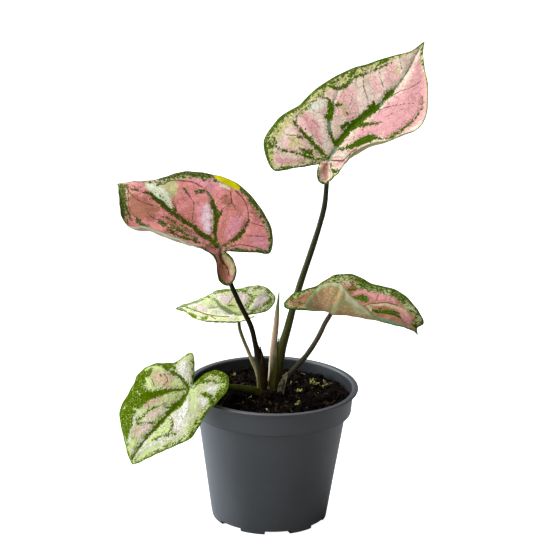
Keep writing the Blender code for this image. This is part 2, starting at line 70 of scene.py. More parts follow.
# joint is where a blade meets its stalk. heading, pitch and roll turn the blade there, and
# fold lifts each half, in degrees. The rib runs from the tip to the joint, and each margin
# from the tip round to the sinus, as (along, across, lift above the fold's rise). shoulder is
# the number of the margin point that the first vein from the joint runs to. bow bulges the
# half's middle, peak says how near to the margin (1 is half-way, 5 is close to it), and
# bow_rows are the rows between which it does, where those aren't all.
BLADES = {
    "blade_upper_left": {
        "joint": (-33.5, 0, 172.8), "heading": 166.8, "pitch": 27.7, "roll": -22.5, "fold": 17.5,
        "rib": [(74, 0), (66, -2, 3), (55, -3, 4), (40, -2.5, 2.5), (20, -1, 0.5), (0, 0)],
        "left": {
            "margin": [(74, 0), (72, 3), (66, 16), (58.5, 31), (51, 37), (43, 33, 4), (38, 30, 4),
                       (28, 26, 4), (17, 21, 4), (6, 12, -0.5), (-1, 10.5, -3), (-5, 11, -9),
                       (-9.5, 12, -16), (-15.5, 9.5, -18), (-17.5, 7.5, -12), (-15.5, 5.5, -5),
                       (-10, 3, 0), (-4, 0.5, 0)],
            "shoulder": 7, "bow": (0, 1.2, -3.2), "peak": 4, "bow_rows": (0, 13),
        },
        "right": {
            "margin": [(74, 0), (67, -7), (57, -15), (47, -28), (41, -33), (31, -38), (18, -42), (5, -41),
                       (-10, -35), (-21, -27), (-27, -15), (-21, -10.6), (-11, -4.2), (-6, -1.4),
                       (-4, 0.5)],
            "shoulder": 4, "bow": (0, 0, 2), "peak": 1,
        },
    },
    "blade_upper_right": {
        "joint": (30.7, 3, 229.1), "heading": 25.7, "pitch": 47.5, "roll": 35, "fold": 15,
        "rib": [(92, 0), (82, -1.5), (70, -5), (56, -5), (42, -3), (28, 1), (14, 2, 0.5), (0, 0)],
        "left": {
            "margin": [(92, 0), (82, 3), (71, 11), (60, 18), (51, 24), (37, 30), (25, 33), (15, 34),
                       (4, 38), (-5, 38.5), (-15, 37), (-22, 30), (-25.5, 21), (-18, 13.8), (-12, 8.3),
                       (-7.5, 4.3), (-5.5, 2.5)],
            "shoulder": 6, "bow": (0, 0, 2.5), "peak": 1,
        },
        "right": {
            "margin": [(92, 0), (83, -7), (71, -22), (60, -32), (51, -37), (44, -37.5, 2.5),
                       (38.5, -34, 4), (30, -27.5, 4), (23.5, -20.5, 4), (16, -14.8, 4), (8.5, -12.5, 4),
                       (-4, -12.5, 2), (-12.5, -9.5, -1), (-14.5, -6, 0.5), (-12.5, -2.5, 4), (-8, 1, 3),
                       (-5.5, 2.5)],
            "shoulder": 9, "bow": (0, -1.8, -3.5), "peak": 4, "bow_rows": (0, 14),
        },
    },
    "blade_back_left": {
        "joint": (-21.8, 20, 122.7), "heading": -171.2, "pitch": 8.1, "roll": -12, "fold": 18,
        "rib": [(40, 0), (35, -2), (24, 0.5), (12, 2), (0, 0)],
        "left": {
            "margin": [(40, 0), (35, 2), (32.5, 10), (31, 18), (25, 23.5), (15, 21), (7, 18), (0, 13),
                       (-5, 9, 1.5), (-8.5, 5.5, 2), (-9, 1.5, 1.5), (-7, 0.4, 0.8), (-4.5, -0.9)],
            "shoulder": 4, "bow": (0, 0, -1.5), "peak": 3,
        },
        "right": {
            "margin": [(40, 0), (36, -4), (30, -7), (20, -13), (12, -19), (0, -21.5), (-9, -25),
                       (-17, -26), (-23, -21), (-24, -15), (-19, -7), (-13, -3.9), (-7.5, -2),
                       (-4.5, -0.9)],
            "shoulder": 4, "bow": (0, 0, 1.5), "peak": 1,
        },
    },
    "blade_lower_right": {
        "joint": (35, -8, 136.6), "heading": -17.2, "pitch": -8.6, "roll": 20, "fold": 10,
        "rib": [(55, 0), (46, 2.5, 4.5), (36, 3.5, 6), (24, 3, 4.5), (12, 1.5, 2.5), (0, 0)],
        "left": {
            "margin": [(55, 0), (53, 5), (55.5, 10), (50, 17.5), (38.5, 26.5), (28.5, 29.5), (16.5, 29),
                       (5, 32), (-2, 31), (-9.5, 26.5), (-16, 16), (-20.5, 11.5), (-26.5, 6), (-29, -1),
                       (-28.5, -7), (-25.5, -10.5), (-19.5, -8.8), (-10.5, -5.8, 0.5), (-4, -3, 1)],
            "shoulder": 6, "bow": (0, 0, 1.5), "peak": 1,
        },
        "right": {
            "margin": [(55, 0), (53.5, -1.5, 3), (46, -3, 5.5), (37, -5, 6.5), (30, -8, 10.5),
                       (21, -9, 17.5), (13.5, -8.5, 22), (9.5, -7.5, 25), (5.5, -5, 26.5),
                       (-0.5, -5, 25.5), (-5, -6, 23), (-9, -8, 18.5), (-11, -10.5, 14.5),
                       (-13, -13, 9.5), (-12, -13.5, 6), (-8.5, -7.8, 3), (-4, -3, 1)],
            "shoulder": 6, "bow": (0, -7, -3), "peak": 1, "bow_rows": (3, 18),
        },
    },
    "blade_lower_left": {
        "joint": (-50, -24, 90.1), "heading": -141.8, "pitch": -43.5, "roll": 0, "fold": 4,
        "rib": [(58, 0), (51, -3.5), (43.5, -3.7), (28, -2.5), (14, 0.5), (0, 0)],
        "left": {
            "margin": [(58, 0), (55, 4), (45.5, 13), (33, 26), (27, 31), (16, 30), (8, 28.5), (-2, 30.5),
                       (-9, 31), (-13.5, 28), (-17.5, 22), (-17.5, 10), (-12, 3), (-7, 1.8), (-3.5, 0)],
            "shoulder": 4, "bow": (0, 0, 2), "peak": 1,
        },
        "right": {
            "margin": [(58, 0), (55.5, -6), (51, -13.5), (46, -21), (36, -34.5), (30, -39), (22.5, -40.5),
                       (13, -42.5), (6, -44.5), (-3.5, -39), (-10.5, -25), (-18.5, -21), (-20.5, -16),
                       (-13, -7.5), (-5, -1.5), (-3.5, 0)],
            "shoulder": 6, "bow": (0, 0, 2.5), "peak": 1,
        },
    },
}

# How finely each blade is meshed, as a multiple of the CAD model's rows
FINENESS = {
    "blade_upper_left": 11,
    "blade_upper_right": 12,
    "blade_back_left": 8,
    "blade_lower_right": 10,
    "blade_lower_left": 10,
}
BLADE_HALF_THICKNESS = 0.3
MARGIN_HALF_THICKNESS = 0.16
VEIN_DEPTH = 0.4
QUILT_HEIGHT = 0.16
ROLL_HEIGHT = 0.22
RIPPLE_HEIGHT = 0.06
WAVE_HEIGHT = 0.15


# Markings
def left(*points):
    """A stroke on a blade's left half, through (x, y, half width) in the photo's pixels."""
    return "left", points


def right(*points):
    """A stroke on its right half."""
    return "right", points


def both(*points):
    """A stroke on both halves."""
    return None, points


MARKINGS = {name: {} for name in BLADES}


def mark(blade, kind, *strokes):
    """Keeps the strokes of one kind of marking on one blade."""
    MARKINGS[blade][kind] = strokes


# "vein" and "thin" are veins. "green", "lime", "grey", "yellow" and the kinds of PATCHES are
# patches of the upper side, and "olive", "glaze" and "ridge" lie on an underside that shows.
# One kind of PATCHES is painted light: paler patches that brighten a half the lamps leave dim, and a glint
# beside a vein.
mark(
    "blade_upper_left", "vein",
    both((217, 245, 3.6), (210, 239.2, 2.8), (202, 234.6, 2.4), (195, 228, 2.4), (189, 224, 2.6),
         (183.5, 220.8, 2), (178, 216.3, 2.3), (172, 212.8, 2.3), (166, 207.6, 2.6), (160.5, 202.5, 2.8),
         (155, 198, 2.4), (149, 193.3, 1.7)),
    both((149, 193.3, 1.5), (143, 192.2, 1), (137.6, 190.6, 0.7), (130.7, 188, 0.5), (122, 185.3, 0.4)),
    right((216, 243, 2.6), (214.7, 233.5, 2), (215, 226.6, 2.2), (216.2, 219.7, 2.9), (216, 212.8, 2.9),
          (213.9, 207, 2.4), (212.5, 201.3, 2)),
    right((222, 246, 0.8), (229.4, 243.2, 1.2), (236.3, 238.1, 2.4), (242, 233.5, 2), (245.5, 226.6, 1.6),
          (248.3, 219.7, 0.9)),
    left((211, 245.5, 1), (201.8, 243.8, 0.9), (192.7, 240.4, 1.7), (184.6, 238, 1.4),
         (176.6, 234.6, 1.6), (168.5, 230, 1.2)),
    both((220.2, 251.8, 0.9), (222, 261, 0.9), (226, 267.5, 0.6)),
)
mark(
    "blade_upper_left", "green",
    right((219, 215.7, 2.2), (221, 213, 1.2)),
    left((164, 224.3, 2.8), (160, 222.5, 2.6)),
    left((163, 216.5, 0.9), (174, 222, 1), (184, 228, 0.9), (193, 232.5, 0.6)),
    left((168, 228.5, 1), (178, 229.5, 0.9), (188, 231, 0.5)),
    left((137, 220.3, 2.2), (141, 224.3, 2), (148, 226.8, 1.2)),
    left((124, 196, 1.2), (126, 208, 1.4), (131, 220, 1.6)),
    left((171, 226, 1.8), (182, 232, 1.6), (196, 239, 1.4)),
    right((158, 184.8, 1.6), (162, 184, 1.2)),
    right((201.8, 176.5, 2.6), (203, 180, 1.4)),
    right((196, 191.8, 1.8), (203, 191, 1.8)),
    right((184.6, 190, 1.8), (186, 192, 1.4)),
    right((173.5, 202, 1), (175, 209.4, 1.2), (175.6, 214, 0.8)),
    both((224, 283.5, 2), (229, 284, 1.6)),
)
mark(
    "blade_upper_left", "grey",
    right((212, 200, 1.4), (209.6, 195, 1.5), (206.4, 191.4, 1.3)),
    right((236, 238.5, 1.4), (241, 235, 1.4)),
    both((220.2, 248, 1.6), (221, 249, 1.4)),
)
mark(
    "blade_upper_left", "white",
    # Painted highlight: this first stroke stands for a glint along the vein of the right half.
    right((212.4, 209, 1.1), (212, 219.7, 1.2), (212.6, 229, 0.9)),
    right((149, 186, 4), (157, 190.6, 6.2), (163, 198, 6.2), (168.5, 207, 3.6)),
    right((156, 182.6, 2.6), (166, 178.6, 2.2)),
    right((220, 184.8, 1.4), (229, 188.6, 1.4)),
)
mark(
    "blade_upper_left", "cream",
    right((165, 184, 5.4), (172, 187.6, 6.4), (169, 195, 5)),
    right((171, 178.4, 2.6), (180, 177.6, 2.4), (188, 177.4, 1.6)),
    both((223.5, 253, 2.4), (227.5, 259, 3), (231, 265, 2.6), (232.5, 272, 2)),
)
mark(
    "blade_upper_left", "pink",
    right((192.7, 178, 4), (206, 184, 4), (214, 187, 5)),
    right((200, 208, 5), (203, 222, 5)),
    right((236, 222, 6), (230, 234, 5)),
    left((190, 236, 2.4), (202, 240, 2.4)),
    left((188, 243.5, 1.8), (202, 248, 2)),
    right((132, 184.4, 2), (142, 186.6, 2.2)),
    right((256, 240, 5), (264, 246, 4)),
)
mark(
    "blade_upper_left", "brown",
    left((133, 198, 5), (138, 210, 7), (150, 215, 6)),
    left((143, 203, 5), (154, 210, 5)),
    left((168, 221, 3.6), (182, 229, 3.4), (194, 236, 2)),
    right((225, 199, 4.5), (229, 204, 4)),
    right((252, 203, 4), (257, 212, 5)),
    both((221, 266, 3.6), (222.6, 272, 5.4), (224, 277, 5.4)),
)
# Painted highlight: a pale streak beside the right half's vein, standing for a glint.
mark(
    "blade_upper_left", "painted_light",
    right((207, 208, 3.4), (206, 219, 4.4), (208, 231, 3.4)),
)
mark(
    "blade_upper_left", "yellow",
    right((214.5, 175, 1.6), (220.2, 178.2, 3), (229.4, 183.2, 3.6), (237.8, 188, 2.2)),
)
mark(
    "blade_upper_left", "thin",
    left((127, 188.7, 0.4), (133, 196.7, 0.4), (142, 202.5, 0.4), (152.5, 205.9, 0.5)),
    left((146.7, 212.8, 0.3), (152.5, 218.5, 0.4), (159.4, 219.7, 0.5)),
    left((128.4, 194.4, 0.5), (128.9, 208.2, 0.5), (134.7, 217.4, 0.5)),
    right((163, 184.6, 0.6), (169.7, 181, 0.6), (178.9, 180.7, 0.6), (189.2, 181.8, 0.6),
          (195, 183.5, 0.6), (201.8, 187.6, 0.6)),
    both((184.6, 189.6, 1.2), (190.4, 197.9, 0.4), (193.8, 203.6, 0.4), (193.2, 211.7, 0.4),
         (192, 222, 0.4)),
    right((216, 204, 0.3), (220, 200, 0.3), (224.8, 196.7, 0.4), (230, 195, 0.3)),
    right((219, 212, 0.3), (227, 206, 0.4), (231.7, 203.6, 0.5), (236.3, 210.5, 0.3)),
    right((230.5, 191.5, 0.6), (231.1, 199, 0.5), (231.7, 203.6, 0.4)),
    right((248.3, 219.7, 0.5), (247.8, 211.7, 0.5), (246.6, 205.9, 0.5), (242, 197.9, 0.5),
          (235, 191, 0.6)),
    right((249.5, 222.4, 0.3), (259.2, 225.4, 0.4), (267.3, 227.7, 0.4)),
    right((242, 235.8, 0.3), (253.5, 236.3, 0.4), (263.8, 236.9, 0.3)),
    right((248, 212.6, 0.3), (256, 214, 0.4), (263, 217, 0.3)),
    right((228, 247.6, 0.5), (240, 245, 0.5), (255, 247.5, 0.5), (268, 252, 0.4)),
    both((218.6, 255, 0.6), (222, 262, 0.6), (227.6, 268, 0.6), (229.4, 275, 0.6)),
)
mark(
    "blade_upper_right", "vein",
    both((337, 145, 2.4), (339.8, 141, 3), (344.8, 134.3, 3.4), (349.3, 128.8, 4), (356, 123.2, 4.4),
         (362.7, 117.6, 3.6), (369.4, 112, 3.8), (376, 107.6, 3.6)),
    both((382, 101.6, 1.4), (386, 97.6, 2.8), (389.5, 94.2, 3.6), (392.3, 90.8, 2.2)),
    left((336, 147, 1.2), (334.8, 144.4, 1.6), (332.5, 138.8, 1.8), (330.4, 133, 1.4)),
    left((328.6, 117.5, 3.6), (331, 110.9, 4.2), (330.3, 104.2, 3), (329, 99.7, 1.1), (323.6, 97.5, 0.8)),
    left((327.5, 158, 1.8), (320.3, 151, 2.4), (314.7, 145.5, 2.4), (310.2, 139.9, 2.7),
         (304.6, 134.3, 2.2), (301, 129.8, 1.6)),
    left((298, 126, 1), (295.7, 123.2, 1.5), (293.5, 120.9, 0.7)),
    left((325.8, 160, 0.7), (315.8, 158.9, 0.8), (308, 157.2, 1.3), (299, 153.9, 1), (290.1, 151.6, 0.9),
         (282.3, 150.2, 1.5), (276.7, 146.6, 0.9), (272, 142, 0.8)),
    right((337, 150, 1.1), (343.7, 148.8, 1.4), (350.4, 146.6, 2.4), (357.1, 143.3, 3.9),
          (363.8, 139.9, 3.9), (371.6, 137.7, 3.4), (377, 137.5, 1.6)),
    right((376, 138, 0.9), (385, 139, 0.8), (391.7, 137, 1.5), (399.5, 131.5, 1.5), (405.1, 126.8, 1.1),
          (409.6, 123.8, 1.5), (415.1, 118.7, 0.8), (419.6, 112, 0.7), (421.8, 106.4, 0.9),
          (422.4, 97.5, 0.4)),
    right((355, 124, 2), (363.8, 124.6, 2.8), (371.6, 123.9, 1.2), (380, 123, 1)),
    both((331, 164, 0.6), (332, 169, 0.8), (335, 171.6, 2), (338, 170.5, 1.8)),
)
mark(
    "blade_upper_right", "green",
    left((343.5, 127.6, 2.8), (347, 123.5, 2.2)),
    left((370, 107, 2.4), (374, 103.6, 1.8)),
    left((337, 104.6, 1.8), (341, 105.2, 1)),
    left((298, 136.8, 1.2), (302, 138, 1.2)),
    left((311, 139.4, 1.4), (313, 143, 1)),
    left((301, 149.4, 1.6), (306, 151.6, 2.4), (311.5, 152, 2.4)),
    left((304, 155.6, 1.2), (309, 157, 1)),
    left((331, 87, 1.6), (338.1, 88.6, 2), (342.6, 87.5, 2.2), (349.3, 81.9, 1.4), (357, 76.3, 1.7),
         (363.8, 74.6, 1.5), (371.6, 70.9, 1), (380.5, 67.6, 1), (390.6, 62.4, 1)),
    left((352, 73, 2.4), (350, 79, 1.6)),
    left((378, 64, 1.4), (388, 60, 1.6)),
    left((268, 130, 2), (269, 142, 1.6), (272, 154, 1.2)),
    left((284, 113, 1.6), (279, 122, 1.6)),
    left((272.5, 147, 1.2), (276, 142, 1), (274, 137, 1)),
    left((322, 88, 1), (331, 84, 1.2), (338, 80, 1.4)),
)
mark(
    "blade_upper_right", "grey",
    both((329.2, 158.9, 2.4), (332.5, 153.3, 2.1), (337, 146.6, 2.3)),
    left((329.2, 131.4, 2), (328.8, 124.3, 2.2), (328.6, 120, 2)),
    left((333, 104, 0.5), (335.9, 95.3, 0.5), (338.1, 88.6, 0.5)),
    both((378, 106.6, 2), (380.5, 104.2, 2.1), (386, 98.4, 1.8)),
    both((392, 91, 1.2), (397.3, 85.2, 1.1), (404, 76.3, 1.1), (409.6, 67.4, 0.8), (415.1, 56.2, 0.6),
         (419.6, 48.4, 0.5)),
    left((302, 131, 1.4), (300, 128.6, 1.4)),
)
mark(
    "blade_upper_right", "white",
    left((312, 108, 4), (317, 105, 4), (323, 103, 2.4)),
    left((350, 122, 2), (353, 120, 1.4)),
    left((325, 140, 1.6), (327, 148, 1.6)),
    right((345, 157, 1.6), (341, 154, 1.6)),
    right((421, 62, 0.7), (423.5, 72, 0.6)),
    left((408, 62, 0.8), (412, 55, 0.6)),
)
mark(
    "blade_upper_right", "cream",
    left((289, 121, 4), (282, 128, 4), (277, 138, 3)),
    left((292, 138, 3.4), (299, 144, 3), (290, 145.5, 2)),
    left((305, 99, 2.4), (313, 96, 2.4), (322, 94, 2)),
    left((342, 82, 2.4), (352, 78.6, 2.6), (362, 72, 2)),
    left((372, 66, 1.8), (384, 62.6, 1.4), (396, 58.5, 1.2)),
    left((344, 106, 2.4), (345, 113, 2.4)),
    left((400, 66, 1.4), (394, 74, 1.6)),
    right((357, 154, 2.6), (368, 150, 2.6), (380, 145.6, 2)),
)
mark(
    "blade_upper_right", "pink",
    left((306, 117, 4), (312, 124, 5), (320, 133, 5), (322, 142, 3)),
    right((352, 147, 3), (366, 134, 7), (384, 122, 11), (400, 110, 12), (412, 96, 9)),
    right((412, 92, 8), (417, 80, 6), (418, 68, 3)),
    right((421, 66, 6), (424, 80, 9), (424, 94, 11), (421, 106, 11), (413, 117, 9), (400, 127, 6),
          (386, 135, 4)),
    right((398, 130, 2.4), (412, 124, 2.2), (420, 112, 1.6)),
    left((278, 160, 3), (290, 161.6, 3), (302, 160.6, 2)),
    right((338, 164, 2.4), (343, 162, 2)),
)
# Painted light: wide pale patches over the left half, brightening it where the lamps leave it dim.
mark(
    "blade_upper_right", "painted_light",
    left((343, 122, 6), (352, 110, 8), (366, 98, 9), (382, 84, 8), (396, 70, 6)),
    left((323, 120, 4), (325, 134, 5), (330, 148, 3)),
    left((300, 140, 4), (290, 132, 4), (284, 146, 3)),
)
mark(
    "blade_upper_right", "blush",
    left((343, 102, 7), (349, 94, 7), (341, 112, 6)),
    left((391, 68, 6), (394, 74, 6), (388, 80, 5)),
    left((374, 80, 4), (378, 90, 4)),
    left((356, 104, 4), (350, 118, 4)),
    left((303, 126, 6), (300, 140, 6), (290, 146, 6)),
)
mark(
    "blade_upper_right", "brown",
    both((324, 166, 3), (325, 172, 3.6), (326, 178, 2.6)),
    left((289, 134, 2.4), (294, 130, 2)),
    left((340, 79.4, 1.8), (343, 82, 1.6)),
)
mark(
    "blade_upper_right", "thin",
    left((370, 108, 0.7), (367, 97.5, 0.6), (364, 88.6, 0.7), (363.6, 79.6, 0.5), (363.4, 75.2, 1.1)),
    left((384.4, 96, 0.4), (383.3, 86.3, 0.4), (380.5, 79.6, 0.4), (379.4, 72, 0.4)),
    left((403.4, 73.6, 0.4), (401.2, 66.2, 0.4), (399.5, 57.3, 0.4)),
    right((392.6, 95.6, 0.5), (401.7, 90.8, 0.5), (409.6, 88.4, 0.5), (421.5, 80.8, 0.4)),
    right((379, 110.4, 0.4), (391.7, 106.4, 0.5), (404, 104.2, 0.4), (416, 103.4, 0.4)),
    left((349.3, 107.5, 0.3), (351.5, 100.8, 0.4), (352.6, 93, 0.3)),
    left((346.6, 112.4, 0.9), (347.6, 114.6, 0.7)),
    left((308, 106.4, 0.4), (300.2, 112, 0.5), (296.8, 117.6, 0.5), (297, 124, 0.4)),
    left((309, 104.6, 0.3), (315, 112, 0.3), (323, 113.4, 0.3)),
    left((286, 135, 0.4), (296, 135.6, 0.4)),
    right((343, 160.6, 0.5), (348, 156.4, 0.5), (352.6, 151.4, 0.5), (357, 149, 0.4)),
    right((331.4, 160.4, 0.7), (338, 160.8, 0.8), (344.8, 161.2, 0.5)),
    left((320, 128, 0.3), (312, 120, 0.3)),
    right((385, 118, 0.3), (400, 110, 0.3), (412, 108, 0.3)),
)
mark(
    "blade_back_left", "vein",
    right((247.7, 308.6, 1), (249.9, 303.5, 1.1), (252.9, 299.1, 1.3), (251.4, 295.4, 1.1),
          (247.7, 293.2, 0.7)),
    right((253, 312, 0.6), (258, 309.3, 1.1), (263, 307.1, 0.7), (268.3, 304.2, 0.6), (270.1, 299.8, 1.1),
          (268.3, 296.1, 0.7)),
    right((236, 315.6, 1.2), (240, 315.4, 1)),
    left((190.5, 314, 1.6), (194.9, 316.7, 2)),
    left((203, 318, 1.6), (206.5, 317.8, 1.4)),
)
mark(
    "blade_back_left", "grey",
    right((236, 313.7, 1.4), (230.1, 312.3, 2.2), (224.3, 308.6, 2), (219.9, 305.7, 1.5),
          (216.9, 301.3, 1.5), (214, 299, 1.1)),
    right((208.9, 307.9, 0.7), (216.9, 307.1, 0.7)),
    left((180, 309.6, 1.8), (186, 311, 1.2)),
    right((180, 306.6, 1.4), (190, 303.6, 1.2), (199, 301, 1)),
)
mark(
    "blade_back_left", "green",
    right((217, 291.8, 1), (228.7, 290.8, 1.3), (240.4, 290.6, 1.7), (245, 291.2, 1.4)),
    right((252, 290, 0.8), (259, 288.4, 0.8), (266.8, 290, 1), (271, 295, 1)),
    right((251, 302, 1.4), (252, 297, 1.2), (249, 294, 0.8)),
    right((264, 306, 0.8), (268, 302, 1)),
    right((228, 306, 1), (234, 305.6, 0.8)),
)
mark(
    "blade_back_left", "white",
    right((262, 294.4, 2.2), (265, 297, 1.6)),
    right((213, 309, 1.6), (224, 313.6, 1.8), (232, 315, 1)),
    right((213, 295, 1.8), (220, 292.8, 1.2)),
    right((190, 306, 1.6), (198, 303, 1.6)),
    right((246, 309, 1.2), (249, 305, 1)),
)
mark(
    "blade_back_left", "cream",
    right((233, 303, 2.4), (235, 310, 3)),
    right((255, 291.4, 1.4), (262, 290.6, 1.2)),
    left((216, 319.5, 1.4), (226, 320, 1.4)),
    right((258, 312.6, 1.6), (264, 310.6, 1.6)),
)
mark(
    "blade_back_left", "pink",
    right((221, 297.6, 3.6), (229, 299, 4.6)),
    right((240.6, 296.6, 3.6), (245, 299, 3.6)),
    right((255.6, 305, 3), (260, 301.4, 3.6), (265, 299.6, 2.8)),
    right((199, 306.4, 3), (205.2, 310.4, 3)),
    left((230, 318.4, 1.8), (234, 316.8, 1.6)),
)
mark(
    "blade_back_left", "thin",
    both((184, 305, 0.5), (187.6, 307.9, 0.5), (196.4, 311.5, 0.5), (205.2, 314.5, 0.5), (212, 316, 0.5),
         (222, 316.8, 0.5), (229, 317.2, 0.4)),
    left((211, 316.4, 0.5), (215.5, 319.6, 0.5)),
    right((224, 292.6, 0.3), (226, 296, 0.3)),
    right((228.6, 304, 0.3), (232, 298.6, 0.4), (236, 295, 0.3)),
    right((264.6, 309.4, 0.5), (269, 305.6, 0.5), (272.4, 302, 0.4)),
    right((247, 313.4, 0.7), (252, 314, 0.6), (258, 315, 0.4)),
)
mark(
    "blade_lower_right", "vein",
    left((378, 313.6, 1.6), (383.3, 314, 2.4), (392.9, 316, 2.4), (399.6, 317.4, 1.5)),
    left((354.6, 288.7, 1.6), (349.8, 290, 1.8)),
)
mark(
    "blade_lower_right", "green",
    left((355.6, 298.3, 2), (362.3, 298.3, 3.4), (366, 300.4, 2.8)),
    left((357, 280, 2), (361.5, 281.6, 2.4), (366, 284.6, 2)),
    left((362, 287, 1.2), (372, 288.6, 1.5), (382, 291, 1.2)),
    left((393, 293.6, 2), (399, 296.6, 2.6), (404, 301.4, 1.8)),
    left((374, 311.4, 2), (380, 310.8, 1.6)),
    left((376, 311.6, 3), (384, 314, 4.4), (392, 316.4, 4.4), (399, 319, 3.4)),
    left((291, 301.6, 1), (296, 303.6, 1), (304, 303.8, 1)),
    left((289, 296, 1.4), (295, 291.6, 1.4), (303, 290, 1.2)),
    both((370, 317, 1), (382, 321.4, 1.4), (394, 324.4, 1.2), (406, 328, 1.4)),
    both((413.4, 325.4, 1.6), (416.6, 327.6, 1.8), (417, 332, 1)),
)
mark(
    "blade_lower_right", "white",
    left((333, 276.6, 1.1), (338, 277.4, 1.6), (345, 280.2, 2.2)),
    left((404.6, 304, 1.8), (410, 307.6, 2), (415, 312.4, 2), (418.6, 318, 2)),
    left((366, 305.4, 0.8), (370, 308.6, 1.6), (372, 312, 1)),
    left((378, 288.6, 0.8), (386, 291.6, 0.9)),
)
mark(
    "blade_lower_right", "grey",
    both((368, 315.4, 2.2), (380, 320.4, 3.4), (392, 324, 3.4), (405, 327.4, 2.6)),
    left((317, 284, 1.2), (322, 280.4, 1.4), (330, 277.4, 1.2)),
)
mark(
    "blade_lower_right", "cream",
    left((344.6, 281.4, 2.6), (349, 284.6, 2.6)),
    left((366, 305.2, 0.7), (375.7, 305, 1.2), (390, 305.8, 1.6), (402.5, 310.4, 1.5), (408, 317, 1)),
)
mark(
    "blade_lower_right", "pink",
    left((357, 293.4, 1.8), (366, 292.4, 2.2), (375.7, 296.4, 3.8), (385.2, 296.8, 4), (393, 300.4, 2.8)),
    left((403, 314, 3.4), (407.2, 320.6, 3.2)),
)
mark(
    "blade_lower_right", "brown",
    left((353, 283.4, 2.6), (358, 284, 2.8)),
    left((374, 309.4, 1.6), (383.3, 309.2, 1.8), (392, 311, 1.4)),
    left((290, 298, 3), (298, 296, 4), (305, 295, 3)),
    left((401.6, 304.4, 1.4), (399, 303, 1.2)),
)
mark(
    "blade_lower_right", "ridge",
    right((331.7, 312.4, 2.2), (334.5, 306.9, 1.8), (338, 304.4, 1.5), (341.4, 301, 1.4),
          (343.4, 295, 1.3), (342.6, 287.4, 1.2)),
    right((336, 304.6, 1.2), (344, 303, 1.4), (352, 305, 1)),
)
mark(
    "blade_lower_right", "glaze",
    right((344.6, 289, 1.8), (347.6, 294, 2.6), (351.4, 300.6, 3.4), (359, 306.4, 2.6), (368, 312, 1.4)),
    right((318, 289.6, 0.2), (326, 285.4, 0.5), (335, 284, 0.9), (341, 286, 1.1)),
    right((356, 311, 0.9), (362, 313, 0.8)),
)
mark(
    "blade_lower_right", "olive",
    right((330, 294, 2.6), (336, 291, 3), (338, 298, 2.4)),
    right((310.6, 302, 2.2), (314, 296, 2), (319, 290.6, 1.6)),
    right((338, 311, 3), (344, 308.6, 4), (352, 311.6, 4), (362, 314.6, 2.6)),
)
mark(
    "blade_lower_right", "thin",
    left((376, 300.6, 0.5), (378, 295.6, 0.5), (380, 292.4, 0.5)),
    left((389, 300.4, 0.4), (391.6, 297, 0.5), (394, 295.6, 0.4)),
    left((350, 283, 0.4), (354, 286.6, 0.5), (360, 287.4, 0.4)),
    left((341, 279, 0.4), (345, 285, 0.4)),
    left((291, 300.6, 0.4), (299, 299.6, 0.4), (304, 296.6, 0.4)),
    left((364, 306.6, 0.5), (372, 304, 0.5), (386, 303.4, 0.5), (398, 306, 0.4)),
    left((390, 311, 0.9), (395, 312.6, 1.2), (399, 313.6, 0.6)),
)
mark(
    "blade_lower_left", "vein",
    both((189, 390, 1.4), (185.8, 395.1, 2.2), (180.6, 402, 3), (175.4, 406.3, 3.2), (170.3, 411.5, 2.4),
         (165.1, 417.5, 2.3), (160, 422.7, 2.3), (154.8, 428.7, 2), (148.7, 434.7, 1.4),
         (142.7, 442.5, 1), (135.8, 452.8, 0.9), (131.5, 459, 0.9)),
    right((188, 389, 1.4), (180.6, 390, 1.6), (172, 390.4, 1.7), (163.4, 391.7, 3), (154.8, 394.6, 3.6),
          (146.2, 396.4, 3.6)),
    right((188, 387, 1.2), (181.5, 378.4, 1.6), (177.2, 374.6, 1.8), (172, 371.9, 1.6), (166, 368.6, 2)),
    right((172, 408, 1.6), (166.5, 407, 1.2)),
)
mark(
    "blade_lower_left", "green",
    right((153, 366, 3), (144.4, 373.4, 6.6), (137.4, 384.8, 8.6), (133, 395.1, 10)),
    right((142, 396, 9), (131, 405.4, 9), (126.4, 415.8, 8), (126, 425.2, 6.4), (126.6, 435, 3.6)),
    right((156, 364.4, 1.8), (166, 365.4, 2.6), (174, 368, 2)),
    right((137, 420, 1.6), (141.6, 417.4, 0.9), (148.4, 411.4, 0.9), (156, 407, 0.6)),
    right((152, 423.4, 0.9), (146, 423.2, 0.8), (138, 424, 1.6)),
    left((203, 394.4, 2), (207.6, 396, 2.8), (212, 397, 1.8)),
    left((196.6, 384, 1.8), (200, 380, 3.2), (205, 375.6, 3), (212, 372.4, 2)),
    left((213, 372, 2.6), (220, 375, 2.8), (225, 380, 2.2)),
    left((203, 382, 1.8), (212, 381, 1.6), (219, 383, 1.2)),
    left((216, 398, 1.6), (221, 392, 1.6), (210, 404.6, 1.4)),
    left((168, 436, 1), (172, 428, 1), (171.6, 420, 0.8)),
    left((153, 441, 1), (164, 436, 1.2), (176, 434, 1)),
    left((176, 447, 1), (186, 441.6, 1.6), (196, 433.6, 1.4)),
    both((132, 457, 1.6), (134, 460, 1.2)),
)
mark(
    "blade_lower_left", "grey",
    left((191, 390.6, 2), (192.7, 396, 1.8), (192.7, 404, 1.6), (192.4, 414, 1.2)),
    right((124, 436, 1), (126.6, 448, 0.9)),
    left((160, 444, 1.4), (146, 452, 1.4), (138, 459, 1.2)),
    right((181, 360.6, 1), (188, 357.6, 1), (192.6, 359.6, 0.9)),
)
mark(
    "blade_lower_left", "white",
    left((186, 399.4, 1.6), (184, 407, 3.6), (180.6, 417.5, 3.8), (176, 428, 2.6)),
    left((203.4, 399.6, 2.4), (205.4, 403.6, 3)),
    left((209, 390.4, 1.4), (213.6, 388.4, 2.4), (219, 386, 1.6)),
    right((183, 363.6, 2.6), (184.6, 370, 3), (187.6, 378, 2.4)),
    left((152, 445, 1.6), (160, 439, 1.4)),
)
